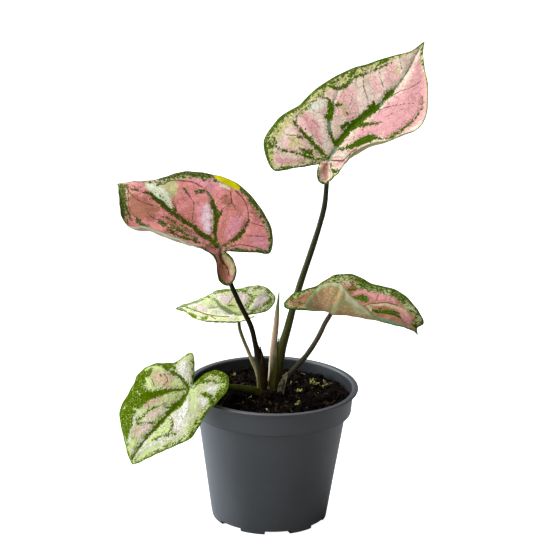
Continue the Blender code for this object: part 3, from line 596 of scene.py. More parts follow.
mark(
    "blade_lower_left", "cream",
    right((152.6, 366.8, 1.6), (158, 365.4, 0.7)),
    right((147, 379, 1.6), (149.6, 386.4, 1.8), (154, 391, 0.8)),
    right((136, 409, 1.2), (140, 411.6, 1.2)),
    right((176, 393.6, 1.2), (183, 393.4, 0.9)),
    right((172.6, 398.8, 1.4), (179, 396.6, 0.9)),
    right((177, 381.4, 1.8), (183, 386, 1.6)),
    right((135.6, 440, 2.4), (134.6, 449, 2)),
    left((170, 420, 2), (164, 430, 2.4), (150, 443, 2)),
    left((188, 432, 3), (196, 424, 3)),
    left((197, 392, 1.4), (201, 387.6, 1.2)),
)
mark(
    "blade_lower_left", "pink",
    left((178.6, 426, 2), (177.6, 431.6, 1.8)),
    left((206.6, 404.6, 2), (200.4, 413.6, 2)),
    right((148.6, 416.4, 3.6), (157.4, 412.6, 3)),
    right((136.6, 433, 3.6), (144, 428, 4.6), (150, 425, 2.6)),
)
mark(
    "blade_lower_left", "lime",
    right((147, 379, 1.2), (149.6, 385, 1.6), (152.6, 389.4, 0.9)),
    right((146, 370, 0.9), (151, 367.4, 1.2), (158, 368, 1.2), (165, 368.6, 0.8)),
    right((137.6, 392, 0.5), (139.4, 394.6, 0.4)),
    right((134, 408.6, 1), (139, 411.6, 1.2)),
    right((124, 409, 0.4), (127, 405, 0.4)),
    right((173, 383.6, 1.2), (180, 384.4, 1)),
)
mark(
    "blade_lower_left", "blush",
    right((157, 376.6, 5), (164, 380, 6.4), (169, 376, 4), (167, 384.6, 4)),
    right((146, 404.4, 3.6), (153, 400.8, 4.4), (160, 398.6, 2.4)),
    right((134, 432, 2.6), (138, 429.4, 2)),
    left((208, 378.6, 1.8), (214, 377, 1.8)),
)
mark(
    "blade_lower_left", "thin",
    right((162, 388, 0.3), (168, 380.6, 0.5), (164, 373.6, 0.4)),
    right((163.6, 404.4, 0.4), (155, 408.4, 0.5), (149, 411, 0.5)),
    right((160.6, 374.8, 1), (161, 376, 0.9)),
    right((148.6, 404.4, 0.5), (149.4, 408.6, 0.5)),
    left((171.6, 416.4, 0.5), (173.4, 423.4, 0.7), (172.6, 430, 0.5)),
    left((181, 414.6, 0.3), (183.4, 420, 0.5)),
    right((152, 379, 0.4), (154.6, 385.6, 0.5)),
)
# The green border of each blade half, as (CAD row from the tip, width in mm), and the wider
# border strewn with pale and green flecks
BORDERS = {
    "blade_upper_left": {
        "left": [(0, 0.6), (0.6, 4), (3.5, 4.6), (5, 1.6), (12, 0.9), (14, 1.2), (17, 2.4), (19, 1)],
        "right": [(0, 0.3), (4, 0.6), (5.5, 2.4), (9, 4), (10, 1.2), (11.5, 1.4), (12, 3.2), (14, 3.4),
                  (15, 2.2), (18, 1.9), (22, 1)],
    },
    "blade_upper_right": {
        "left": [(0, 0.6), (3, 1.4), (8, 2.1), (12, 2.4), (15, 2.6), (17, 1.4), (22, 0.8)],
        "right": [(0, 0.5), (4, 0.8), (8, 0.8), (12, 0.5), (16, 0.9), (22, 0.8)],
    },
    "blade_back_left": {
        "left": [(0, 0.5), (4, 1.4), (9, 0.5), (22, 0.4)],
        "right": [(0, 0.5), (6, 0.6), (9, 1.4), (12, 1.4), (14, 0.9), (18, 0.6), (22, 0.5)],
    },
    "blade_lower_right": {
        "left": [(0, 0.8), (3, 1.6), (6, 2.6), (9, 2.6), (12, 2.2), (15, 1.6), (18, 1.4), (22, 1.2)],
        "right": [(0, 0.8), (5, 0.5), (22, 0.5)],
    },
    "blade_lower_left": {
        "left": [(0, 0.8), (4, 1), (11, 1.4), (15, 1.8), (19, 2), (22, 1.2)],
        "right": [(0, 0.9), (4, 1.2), (6, 2), (12, 2), (15, 1.6), (17, 0.7), (22, 0.6)],
    },
}
FLECKS = {
    "blade_upper_left": {
        "left": [(0, 0.6), (1, 6), (4, 6.5), (6, 2.4), (22, 1.4)],
        "right": [(0, 1.4), (5, 4), (9, 6), (12, 4.6), (15, 5), (18, 2.6), (22, 1)],
    },
    "blade_upper_right": {
        "left": [(0, 1), (3, 4), (6, 6), (9, 6.5), (12, 5.5), (15, 6.5), (18, 2), (22, 0.8)],
        "right": [(0, 2), (4, 2), (8, 1.4), (22, 1.4)],
    },
    "blade_back_left": {
        "left": [(0, 1), (4, 2.6), (9, 1.2), (22, 1)],
        "right": [(0, 1.2), (7, 3), (12, 3.4), (16, 3), (22, 1)],
    },
    "blade_lower_right": {
        "left": [(0, 3), (3, 7), (7, 8.5), (11, 8.5), (15, 5.5), (18, 3.5), (22, 1)],
        "right": [(0, 1.5), (22, 1)],
    },
    "blade_lower_left": {
        "left": [(0, 2), (5, 4), (12, 5), (17, 7), (22, 2)],
        "right": [(0, 1.6), (5, 5), (14, 5), (17, 3), (22, 2)],
    },
}

# The laterals of each blade half, as CAD rows that they follow from the rib to the margin
LATERAL_ROWS = (1.6, 2.8, 4.0, 5.3, 6.6, 9.5, 11.5, 13.5, 15.5, 17.5, 19.5)


def srgb(*levels):
    """A linear colour from the 0 to 255 levels of a picture."""
    linear = []
    for level in levels:
        share = level / 255
        linear.append(share / 12.92 if share <= 0.04045 else ((share + 0.055) / 1.055) ** 2.4)
    return (*linear, 1.0)


# The tones of each blade, as 0 to 255 levels
# One tone of each blade is painted light, the colour of its painted light patches.
TONES = {
    "blade_upper_left": {
        "base": (246, 156, 157), "second": (230, 143, 135), "pink": (246, 164, 176),
        "cream": (214, 208, 150), "white": (242, 248, 216), "painted_light": (255, 228, 238),
        "brown": (186, 122, 98), "grey": (96, 112, 84), "under": (204, 206, 176),
        "under_rim": (208, 222, 184), "fleck": (182, 184, 140), "dark": (44, 58, 8),
        "bright": (92, 108, 22), "rim": (40, 46, 26),
    },
    "blade_upper_right": {
        "base": (236, 212, 191), "second": (232, 199, 183), "pink": (226, 160, 164),
        "blush": (248, 195, 189), "cream": (216, 204, 150), "white": (228, 226, 208),
        "painted_light": (248, 222, 206), "brown": (192, 130, 112), "grey": (112, 132, 106),
        "under": (214, 198, 166), "under_rim": (168, 176, 116), "fleck": (184, 186, 100),
        "dark": (42, 68, 2), "bright": (84, 112, 8), "rim": (50, 66, 22),
    },
    "blade_back_left": {
        "base": (246, 250, 216), "second": (228, 240, 182), "pink": (255, 234, 238),
        "cream": (236, 244, 176), "white": (244, 246, 238), "painted_light": (240, 238, 230),
        "brown": (196, 170, 130), "grey": (136, 154, 104), "under": (186, 200, 150),
        "under_rim": (130, 156, 72), "fleck": (214, 224, 172), "dark": (88, 120, 0),
        "bright": (130, 158, 6), "rim": (112, 132, 72),
    },
    "blade_lower_right": {
        "base": (186, 130, 108), "second": (162, 108, 84), "pink": (224, 152, 158),
        "cream": (208, 182, 150), "white": (184, 194, 150), "painted_light": (214, 150, 140),
        "brown": (148, 112, 80), "grey": (110, 132, 104), "under": (190, 160, 116),
        "under_rim": (150, 170, 112), "fleck": (168, 186, 124), "dark": (38, 58, 4),
        "bright": (78, 106, 6), "rim": (42, 54, 26),
    },
    "blade_lower_left": {
        "base": (176, 171, 151), "second": (156, 159, 112), "pink": (188, 164, 152),
        "blush": (164, 142, 115), "cream": (158, 167, 106), "white": (188, 182, 173),
        "painted_light": (206, 200, 190), "brown": (160, 130, 102), "grey": (150, 158, 108),
        "under": (176, 188, 134), "under_rim": (132, 158, 62), "fleck": (160, 170, 92),
        "dark": (40, 56, 0), "bright": (68, 86, 0), "rim": (92, 118, 30),
    },
}
UNDERSIDES = {"blade_lower_right": (0.15, 0.6)}  # how much upper colour and net show below
SPECKLED = {"blade_lower_left": 0.75, "blade_back_left": 0.5}  # how green a blade's fine specks are
SHADES = {"blade_back_left": (0.86, 1.34)}  # the least and most that mottling multiplies a blade's colour by; blade_back_left's are raised as painted light, brightening the blade as light shining through it would
SHEEN = {"blade_upper_left": 0.03, "blade_upper_right": 0.01}  # the blades that glint a little
SPARSE = {"blade_upper_right": 0.02}  # how thinly the border's green drops are strewn
GLAZE = srgb(194, 198, 160)
OLIVE = srgb(178, 160, 108)
RIDGE = srgb(128, 146, 98)
YELLOW = srgb(218, 208, 10)
THIN_VEIN = srgb(88, 58, 44)


# Curves and meshes
def spline(points, per_span):
    """A smooth curve through points of any dimension, per_span steps a stretch."""
    points = np.asarray(points, float)
    padded = np.vstack([2 * points[0] - points[1], points, 2 * points[-1] - points[-2]])
    t = (np.arange(per_span) / per_span)[:, None]
    parts = []
    for a, b, c, d in zip(padded, padded[1:], padded[2:], padded[3:], strict=False):
        part = 2 * b + (c - a) * t + (2 * a - 5 * b + 4 * c - d) * t**2
        parts.append((part + (3 * b - a - 3 * c + d) * t**3) / 2)
    return np.vstack([*parts, points[-1:]])


def evenly(curve, steps):
    """steps + 1 points at even distances along a fine curve."""
    lengths = np.linalg.norm(np.diff(curve, axis=0), axis=1)
    reached = np.concatenate([[0], np.cumsum(lengths)])
    wanted = np.linspace(0, reached[-1], steps + 1)
    return np.stack([np.interp(wanted, reached, column) for column in curve.T], 1)


def smoothstep(value, low, high):
    """0 at low and 1 at high, eased between them."""
    share = np.clip((value - low) / (high - low), 0, 1)
    return share * share * (3 - 2 * share)


def face_normals(points, triangles):
    """A unit vector at each point, the mean of its triangles' facings."""
    a, b, c = (points[triangles[:, k]] for k in range(3))
    facing = np.cross(b - a, c - a)
    normals = np.zeros_like(points)
    for k in range(3):
        np.add.at(normals, triangles[:, k], facing)
    return normals / np.maximum(np.linalg.norm(normals, axis=1), 1e-9)[:, None]


def add_mesh(name, points, faces, material, attributes=None, smooth=60):
    """A piece of the plant from points in mm and faces, with its attributes."""
    mesh = bpy.data.meshes.new(name)
    mesh.from_pydata((np.asarray(points) * MM).tolist(), [], [tuple(f) for f in faces])
    for key, values in (attributes or {}).items():
        values = np.asarray(values, np.float32)
        kind = "FLOAT_VECTOR" if values.ndim == 2 else "FLOAT"
        layer = mesh.attributes.new(key, kind, "POINT")
        layer.data.foreach_set("vector" if values.ndim == 2 else "value", values.ravel())
    mesh.materials.append(material)
    mesh.shade_smooth()
    if smooth < 180:
        mesh.set_sharp_from_angle(angle=math.radians(smooth))
    piece = bpy.data.objects.new(name, mesh)
    bpy.context.scene.collection.objects.link(piece)
    return piece


def belongs(piece, slot, *nodes):
    """Every piece rides on the one body, and the finer ones replace their CAD nodes."""
    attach(piece, "root")
    if nodes:
        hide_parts(*nodes)


# Node materials
class Look:
    """One node material, written as short calls that return sockets."""

    def __init__(self, name, roughness=0.5, specular=0.5):
        self.material = bpy.data.materials.new(name)
        self.material.use_nodes = True
        self.nodes = self.material.node_tree.nodes
        self.links = self.material.node_tree.links
        self.shader = self.nodes["Principled BSDF"]
        self.shader.inputs["Roughness"].default_value = roughness
        self.shader.inputs["Specular IOR Level"].default_value = specular

    def put(self, socket, value):
        if isinstance(value, bpy.types.NodeSocket):
            self.links.new(value, socket)
        else:
            socket.default_value = value

    def node(self, kind, values, **settings):
        made = self.nodes.new(kind)
        for key, value in settings.items():
            setattr(made, key, value)
        for key, value in values.items():
            self.put(made.inputs[key], value)
        return made

    def math(self, operation, a, b=0.0):
        return self.node("ShaderNodeMath", {0: a, 1: b}, operation=operation).outputs[0]

    def plus(self, a, b):
        return self.math("ADD", a, b)

    def times(self, a, b):
        return self.math("MULTIPLY", a, b)

    def moved(self, value, field, amount):
        """The value plus the amount times a field."""
        return self.plus(value, self.times(field, amount))

    def smooth(self, value, low, high):
        """0 at low and 1 at high, eased between them; low may be the larger."""
        values = {0: value, 1: low, 2: high, 3: 0.0, 4: 1.0}
        made = self.node("ShaderNodeMapRange", values, interpolation_type="SMOOTHSTEP")
        return made.outputs[0]

    def number(self, name):
        return self.node("ShaderNodeAttribute", {}, attribute_name=name).outputs["Fac"]

    def vector(self, name):
        return self.node("ShaderNodeAttribute", {}, attribute_name=name).outputs["Vector"]

    def object_place(self, scale=(1, 1, 1)):
        place = self.node("ShaderNodeTexCoord", {}).outputs["Object"]
        return self.node("ShaderNodeMapping", {"Vector": place, "Scale": scale}).outputs[0]

    def noise(self, place, scale, detail=3.0, roughness=0.55):
        values = {"Vector": place, "Scale": scale, "Detail": detail, "Roughness": roughness}
        return self.node("ShaderNodeTexNoise", values).outputs[0]

    def cells(self, place, scale, feature="F1", randomness=1.0):
        values = {"Vector": place, "Scale": scale, "Randomness": randomness}
        return self.node("ShaderNodeTexVoronoi", values, feature=feature).outputs["Distance"]

    def mix(self, share, a, b, blend_type="MIX"):
        """a where the share is 0 and b where it is 1, or a changed by b in another blend."""
        values = {0: share, 6: a, 7: b}
        return self.node("ShaderNodeMix", values, data_type="RGBA", blend_type=blend_type).outputs[2]

    def over(self, colour, tone, *shares):
        """The colour with a tone laid over it, as fully as the product of the shares."""
        cover = shares[0]
        for share in shares[1:]:
            cover = self.times(cover, share)
        return self.mix(cover, colour, tone)

    def ramp(self, value, stops):
        """A colour that runs through stops, which are (position, (red, green, blue))."""
        made = self.node("ShaderNodeValToRGB", {0: value})
        points = made.color_ramp.elements
        while len(points) < len(stops):
            points.new(0.5)
        for point, (position, levels) in zip(points, stops, strict=True):
            point.position = position
            point.color = srgb(*levels)
        return made.outputs[0]

    def shade(self, colour, value, low, high):
        """The colour times low to high as the value goes from 0.3 to 0.7."""
        level = self.node("ShaderNodeMapRange", {0: value, 1: 0.3, 2: 0.7, 3: low, 4: high})
        return self.mix(1.0, colour, level.outputs[0], "MULTIPLY")

    def bump(self, height, strength, distance):
        values = {"Height": height, "Strength": strength, "Distance": distance}
        self.put(self.shader.inputs["Normal"], self.node("ShaderNodeBump", values).outputs[0])

    def colour(self, value):
        self.put(self.shader.inputs["Base Color"], value)

    def rough(self, value):
        self.put(self.shader.inputs["Roughness"], value)


# The patches on the panels between the veins, in the order in which they are laid. After
# the kind stand how soft its edge is and how far it wanders, tears and frays, all in mm,
# and how fully it covers, where that isn't 1
PATCHES = (
    ("brown", 1.0, 6.0, 5.0, 1.5, 0.9),
    ("pink", 1.0, 6.0, 4.0, 1.5, 0.9),
    # painted light: paler patches where a blade should look more brightly lit, and a painted glint
    ("painted_light", 1.6, 4.0, 2.0, 1.0, 0.9),
    ("blush", 0.9, 5.0, 4.0, 1.5),
    ("cream", 0.5, 3.5, 4.0, 1.5),
    ("white", 0.45, 3.0, 3.5, 1.5),
)


class BladeLook(Look):
    """Pink or pale leaf with ragged green veins, torn patches, a fine dark net of veinlets
    and a flecked green border. The attributes are signed distances in mm."""

    def __init__(self, name, kinds):
        super().__init__(name + "_leaf", 0.55, SHEEN.get(name, 0.0))
        self.name, self.kinds = name, kinds
        self.tones = {kind: srgb(*levels) for kind, levels in TONES[name].items()}
        self.place = self.vector("place")
        self.clouds = self.noise(self.place, 0.11, 3)
        self.mottle = self.noise(self.place, 0.4, 3)
        self.ragged = self.noise(self.place, 0.95, 4, 0.65)
        self.grain = self.noise(self.place, 2.7, 3, 0.6)
        fields = (self.mottle, self.ragged, self.grain)
        self.uneven, self.torn, self.frayed = (self.math("SUBTRACT", field, 0.5) for field in fields)
        stretched = self.node("ShaderNodeMapping", {"Vector": self.place, "Scale": (0.8, 1.0, 1.0)})
        values = {0: stretched.outputs[0], 1: self.noise(self.place, 0.5, 2)}
        self.shifted = self.node("ShaderNodeVectorMath", values, operation="ADD").outputs[0]
        self.net = self.cells(self.shifted, 0.26, "DISTANCE_TO_EDGE")

    def inside(self, kind, soft, wander, tear, fray=0.6):
        """1 well inside a marking and 0 outside, with an edge that wanders and tears."""
        reach = self.moved(self.number(kind), self.uneven, wander)
        reach = self.moved(self.moved(reach, self.torn, tear), self.frayed, fray)
        return self.smooth(reach, soft, -soft)

    def marked(self, colour, kind, tone, soft, wander, tear, fray=0.6, share=1.0):
        """The colour with one kind of marking over it, if the blade has that kind."""
        if kind not in self.kinds:
            return colour
        return self.over(colour, tone, self.inside(kind, soft, wander, tear, fray), share)

    def specks(self, scale, roughness, low, high):
        """1 in the specks of a noise and 0 between them."""
        return self.smooth(self.noise(self.place, scale, 4, roughness), low, high)

    def panels(self):
        """The panels between the veins, clouded, patched and finely mottled; one kind of patch is painted
        light.
        """
        tones = self.tones
        colour = self.over(tones["base"], tones["second"], self.smooth(self.clouds, 0.42, 0.6))
        colour = self.over(colour, tones["cream"], self.smooth(self.mottle, 0.5, 0.72), 0.2)
        for kind, *edge in PATCHES:
            colour = self.marked(colour, kind, tones.get(kind), *edge)
        levels = self.moved(self.times(self.ragged, 0.5), self.grain, 0.5)
        return self.shade(colour, levels, *SHADES.get(self.name, (0.66, 1.28)))

    def veinlets(self, colour):
        """Thin dark veinlets: a net of cells stretched along the blade, and the laterals."""
        tone = self.mix(0.5, self.tones["brown"], THIN_VEIN)
        netting = self.smooth(self.moved(self.net, self.frayed, 0.06), 0.055, 0.015)
        lateral = self.smooth(self.moved(self.number("lateral"), self.torn, 0.5), 0.28, 0.0)
        colour = self.over(self.over(colour, tone, netting, 0.4), tone, lateral, 0.5)
        return self.marked(colour, "thin", THIN_VEIN, 0.2, 0.5, 0.6, 0.3, 0.95)

    def greens(self, colour):
        """Pale and green flecks along the border, green patches, ragged veins and the rim."""
        tones, mottle, grain = self.tones, self.mottle, self.grain
        green = self.over(tones["dark"], tones["bright"], self.smooth(grain, 0.42, 0.6))
        green = self.over(green, tones["bright"], self.smooth(mottle, 0.56, 0.7))
        zone = self.inside("flecks", 0.7, 4.0, 3.0)
        colour = self.over(colour, tones["fleck"], zone, self.specks(0.6, 0.7, 0.47, 0.52))
        sparse = SPARSE.get(self.name, 0.0)
        colour = self.over(colour, green, zone, self.specks(0.55, 0.7, 0.5 + sparse, 0.54 + sparse))
        patchy = self.times(self.smooth(mottle, 0.42, 0.52), SPECKLED.get(self.name, 0.2))
        colour = self.over(colour, tones["bright"], self.specks(1.3, 0.75, 0.52, 0.56), patchy)

        flecked = self.over(green, tones["fleck"], self.specks(1.1, 0.7, 0.575, 0.605), 0.85)
        greyed = self.over(tones["grey"], tones["fleck"], self.smooth(grain, 0.4, 0.62))
        greyed = self.over(tones["grey"], greyed, self.smooth(self.ragged, 0.52, 0.62))
        colour = self.marked(colour, "green", flecked, 0.2, 4.0, 4.5, 2.2)
        colour = self.marked(colour, "lime", tones["cream"], 0.3, 3.0, 4.0, 2.0)
        colour = self.marked(colour, "grey", greyed, 0.3, 1.5, 2.5, 1.5)
        colour = self.marked(colour, "vein", green, 0.18, 3.4, 4.6, 2.4)
        near_vein = self.smooth(self.moved(self.number("vein"), self.uneven, 6.0), 2.6, 1.2)
        colour = self.over(colour, green, self.specks(0.7, 0.75, 0.56, 0.6), near_vein)
        colour = self.over(colour, flecked, self.inside("border", 0.25, 2.4, 3.6, 1.2))
        colour = self.marked(colour, "yellow", YELLOW, 0.25, 2.0, 2.5, 1.5)
        rim = self.smooth(self.moved(self.number("edge"), self.torn, 0.5), 0.5, 0.3)
        return self.over(colour, tones["rim"], rim)

    def underside(self, colour):
        """Paler and greyer, with a net of veinlets and the upper side's colour faintly."""
        shown, netted = UNDERSIDES.get(self.name, (0.5, 0.25))
        tones, clouds = self.tones, self.smooth(self.clouds, 0.4, 0.6)
        under = self.over(self.over(tones["under"], tones["brown"], clouds, 0.2), colour, shown)
        under = self.marked(under, "olive", OLIVE, 1.0, 5.0, 3.0, 1.5, 0.8)
        under = self.shade(under, self.grain, 0.86, 1.1)
        meshes = self.cells(self.shifted, 0.5, "DISTANCE_TO_EDGE")
        netting = self.smooth(self.moved(meshes, self.frayed, 0.12), 0.17, 0.06)
        under = self.over(under, tones["brown"], netting, netted)
        band = self.smooth(self.moved(self.number("edge"), self.torn, 1.5), 2.1, 1.2)
        under = self.over(under, tones["under_rim"], band)
        under = self.marked(under, "glaze", GLAZE, 1.7, 3.0, 3.0, 1.5, 0.7)
        return self.marked(under, "ridge", RIDGE, 1.2, 2.0, 2.5, 1.0, 0.8)


def blade_look(name, kinds):
    look = BladeLook(name, kinds)
    colour = look.greens(look.veinlets(look.panels()))
    look.colour(look.mix(look.number("under"), colour, look.underside(colour)))
    pillow = look.smooth(look.net, 0.0, 0.16)
    look.bump(look.moved(look.times(pillow, 0.6), look.ragged, 0.35), 0.3, 0.0003)
    look.rough(look.plus(look.times(look.mottle, 0.16), 0.36))
    return look.material


# Blades
def folded(points, fold):
    """Margin or rib points as (along, across, lift) with the fold's rise added."""
    slope = math.tan(math.radians(fold))
    return np.array([(p[0], p[1], abs(p[1]) * slope + sum(p[2:])) for p in points])


def blade_frame(blade):
    """The matrix from a blade's own lengths to the object's."""
    heading, pitch, roll = (math.radians(blade[key]) for key in ("heading", "pitch", "roll"))
    turned = Matrix.Rotation(heading, 4, "Z") @ Matrix.Rotation(-pitch, 4, "Y")
    return np.array(Matrix.Translation(blade["joint"]) @ turned @ Matrix.Rotation(roll, 4, "X"))


def blade_half(blade, side, fine):
    """A grid of places, rows from the tip to the sinus and columns from rib to margin."""
    half = blade[side]
    rib = evenly(spline(folded(blade["rib"], blade["fold"]), 24), RIB_ROWS * fine)
    margin = spline(folded(half["margin"], blade["fold"]), 24)
    split = 24 * half["shoulder"]
    edge = evenly(margin[: split + 1], RIB_ROWS * fine)
    edge = np.vstack([edge, evenly(margin[split:], FAN_ROWS * fine)[1:]])
    rows = np.arange(len(edge))
    start = rib[np.minimum(rows, RIB_ROWS * fine)]
    t = np.linspace(0, 1, ACROSS_STEPS * fine + 1)
    first, last = half.get("bow_rows", (0, RIB_ROWS + FAN_ROWS))
    through = np.clip((rows / fine - first) / (last - first), 0, 1)
    peak = half["peak"]
    most = (peak / (peak + 1)) ** peak / (peak + 1)
    bowed = np.sin(math.pi * through)[:, None] * (t**peak * (1 - t) / most)
    flat = start[:, None] * (1 - t)[:, None] + edge[:, None] * t[:, None]
    return flat + bowed[..., None] * np.array(half["bow"], float)


class Sheet:
    """A blade's middle surface: places, triangles, and where each place lies on it."""

    def __init__(self, name):
        blade, fine = BLADES[name], FINENESS[name]
        grids = {side: blade_half(blade, side, fine) for side in SIDES}
        rows, columns = grids["left"].shape[:2]
        joint_row = RIB_ROWS * fine
        index = {s: np.arange(rows * columns).reshape(rows, columns) for s in SIDES}
        index["right"] += rows * columns
        index["right"][:, 0] = index["left"][:, 0]
        index["right"][-1] = index["left"][-1]
        for side in SIDES:
            index[side][joint_row:, 0] = index["left"][joint_row, 0]
            index[side][0] = index["left"][0, 0]
        places = np.vstack([grids[side].reshape(-1, 3) for side in SIDES])
        triangles = []
        for side in SIDES:
            grid = index[side]
            a, b, c, d = grid[:-1, :-1], grid[1:, :-1], grid[1:, 1:], grid[:-1, 1:]
            for corners in ((a, b, c), (a, c, d)):
                faces = np.stack([corner.ravel() for corner in corners], 1)
                triangles.append(faces if side == "right" else faces[:, ::-1])
        triangles = np.vstack(triangles)
        distinct = (triangles[:, 0] != triangles[:, 1]) & (triangles[:, 1] != triangles[:, 2])
        triangles = triangles[distinct & (triangles[:, 0] != triangles[:, 2])]
        used, renumbered = np.unique(triangles, return_inverse=True)
        self.triangles = renumbered.reshape(-1, 3)
        number = np.full(len(places), -1)
        number[used] = np.arange(len(used))
        outline = np.concatenate([index["left"][:-1, -1], index["right"][:0:-1, -1]])
        self.outline = number[outline]
        self.flat = places[used]
        self.on_left = used < rows * columns
        step = np.tile(np.arange(columns), rows * 2)[used]
        self.across = step / (columns - 1)
        self.row = np.tile(np.repeat(np.arange(rows), columns), 2)[used] / fine
        self.grids, self.fine, self.matrix = grids, fine, blade_frame(blade)

    def out(self, places):
        """Places in the blade's frame as places of the object."""
        return places @ self.matrix[:3, :3].T + self.matrix[:3, 3]


def camera_axes():
    """The photograph's right, its down and the way into it, as unit vectors."""
    forward = np.array([0, math.cos(LOOK_DOWN), -math.sin(LOOK_DOWN)])
    level_right = np.array([1.0, 0, 0])
    level_down = np.cross(forward, level_right)
    right = math.cos(CAMERA_ROLL) * level_right - math.sin(CAMERA_ROLL) * level_down
    down = math.cos(CAMERA_ROLL) * level_down + math.sin(CAMERA_ROLL) * level_right
    return right, down, forward


RIGHT, DOWN, FORWARD = camera_axes()


def to_pixels(places):
    """Where the photograph shows these places, and how far off they are."""
    seen = places - EYE
    depth = seen @ FORWARD
    spots = np.stack([seen @ RIGHT, seen @ DOWN], 1) / depth[:, None]
    return IMAGE_PIXELS / 2 + FOCAL_PIXELS * spots, depth


def at_height(pixel, height):
    """The place at a height that the photograph shows at a pixel."""
    across, down = (np.array(pixel) - IMAGE_PIXELS / 2) / FOCAL_PIXELS
    way = FORWARD + RIGHT * across + DOWN * down
    return EYE + way * (height - EYE[2]) / way[2]


def on_blade(sheet, side, pixels):
    """The line on a blade that the photograph shows through these pixels."""
    chosen = np.ones(len(sheet.flat), bool)
    if side:
        chosen = sheet.on_left == (side == "left")
    flat = sheet.flat[chosen]
    spots, depth = to_pixels(sheet.out(flat))
    curve = spline(pixels, 8)
    length = np.linalg.norm(np.diff(curve, axis=0), axis=1).sum()
    line = []
    for spot in evenly(curve, max(2, int(length / LINE_STEP))):
        away = np.hypot(*(spots - spot).T)
        near = np.flatnonzero(away < max(LINE_REACH, away.min() + LINE_REACH / 2))
        front = near[depth[near] < depth[near].min() + LINE_DEPTH]
        weight = 1 / (away[front] + 0.05) ** 2
        line.append((flat[front] * weight[:, None]).sum(0) / weight.sum())
    line = np.array(line)
    eased = line.copy()
    eased[1:-1] = (line[:-2] + 2 * line[1:-1] + line[2:]) / 4
    return eased


def line_distance(places, line, widths=None):
    """The distance from each place to a line, under 0 inside it where it has half widths."""
    best = np.full(len(places), FAR)
    widths = np.zeros(len(line)) if widths is None else widths
    for k in range(len(line) - 1):
        step = line[k + 1] - line[k]
        off = places - line[k]
        share = np.clip(off @ step / max(step @ step, 1e-9), 0, 1)
        away = np.linalg.norm(off - share[:, None] * step, axis=1)
        best = np.minimum(best, away - widths[k] - (widths[k + 1] - widths[k]) * share)
    return best


def stroke_distance(sheet, spots, side, stroke):
    """How far each place of a blade is from a stroke in mm as the photograph shows them,
    under 0 inside it, and FAR for the other half and for layers in front or behind."""
    stroke = np.array(stroke, float)
    low, high = stroke[:, :2].min(0) - STROKE_REACH, stroke[:, :2].max(0) + STROKE_REACH
    mine = ((spots > low) & (spots < high)).all(1)
    if side:
        mine &= (sheet.on_left == (side == "left")) | (sheet.across < 0.02)
    mine = np.flatnonzero(mine)
    line = on_blade(sheet, side, stroke[:, :2])
    reach = STROKE_LAYER + 4 * PIXEL_MM * stroke[:, 2].max()
    mine = mine[line_distance(sheet.flat[mine], line) < reach]
    curve = spline(stroke, 6)
    away = np.full(len(spots), FAR)
    away[mine] = PIXEL_MM * line_distance(spots[mine], curve[:, :2], np.maximum(curve[:, 2], 0))
    return away


def lateral_lines(sheet):
    """The side veins of both halves, from the rib or the joint out to the margin."""
    lines = []
    for side in SIDES:
        grid = sheet.grids[side]
        last_row, last_step = grid.shape[0] - 1, grid.shape[1] - 1
        for row in LATERAL_ROWS:
            line = []
            for share in np.linspace(0, 0.94, 12):
                forward = 0.9 * share * (1 - share) if row > RIB_ROWS else 0.8 * share**2
                at_row = min(max(round((row - forward) * sheet.fine), 0), last_row)
                line.append(grid[at_row, round(share * last_step)])
            lines.append((side, np.array(line)))
    return lines


def marking_attributes(name, sheet):
    """Signed distances in mm from every place of a blade to each kind of marking."""
    found = {}
    spots, _ = to_pixels(sheet.out(sheet.flat))
    for kind, strokes in MARKINGS[name].items():
        best = np.full(len(sheet.flat), FAR)
        for side, stroke in strokes:
            best = np.minimum(best, stroke_distance(sheet, spots, side, stroke))
        found[kind] = best
    rim = sheet.flat[sheet.outline]
    rim = np.vstack([rim, rim[:1]])[:: max(1, sheet.fine // 4)]
    found["edge"] = line_distance(sheet.flat, rim)
    found["lateral"] = np.full(len(sheet.flat), FAR)
    found["border"] = found["edge"].copy()
    found["flecks"] = found["edge"].copy()
    for side in SIDES:
        mine = sheet.on_left == (side == "left")
        for kind, widths in (("border", BORDERS[name][side]), ("flecks", FLECKS[name][side])):
            rows, depths = zip(*widths, strict=True)
            found[kind][mine] -= np.interp(sheet.row[mine], rows, depths)
    for side, line in lateral_lines(sheet):
        mine = sheet.on_left == (side == "left")
        found["lateral"][mine] = np.minimum(found["lateral"][mine], line_distance(sheet.flat[mine], line))
    return found


def blade_relief(sheet, marks):
    """How far the middle surface stands off the plain one: sunken veins, quilted panels
    between them and a slightly waved margin."""
    along, across = sheet.flat[:, 0], sheet.flat[:, 1]
    ribs = np.minimum(marks["vein"], marks.get("grey", FAR))
    sunken = -VEIN_DEPTH * np.exp(-np.maximum(ribs, 0) ** 2 / 1.0)
    quilted = QUILT_HEIGHT * (1 - np.exp(-((marks["lateral"] / 2.0) ** 2)))
    rolling = ROLL_HEIGHT * np.sin(0.34 * along + 0.7) * np.sin(0.29 * across + 0.4)
    rolling += RIPPLE_HEIGHT * np.sin(0.9 * along - 0.5 * across)
    wave = WAVE_HEIGHT * np.sin(sheet.row * 4.4) * smoothstep(sheet.across, 0.6, 1.0)
    inner = smoothstep(np.linalg.norm(sheet.flat, axis=1), 2.0, 9.0)
    return (sunken + (quilted + rolling) * smoothstep(marks["edge"], 0.0, 5.0) + wave) * inner


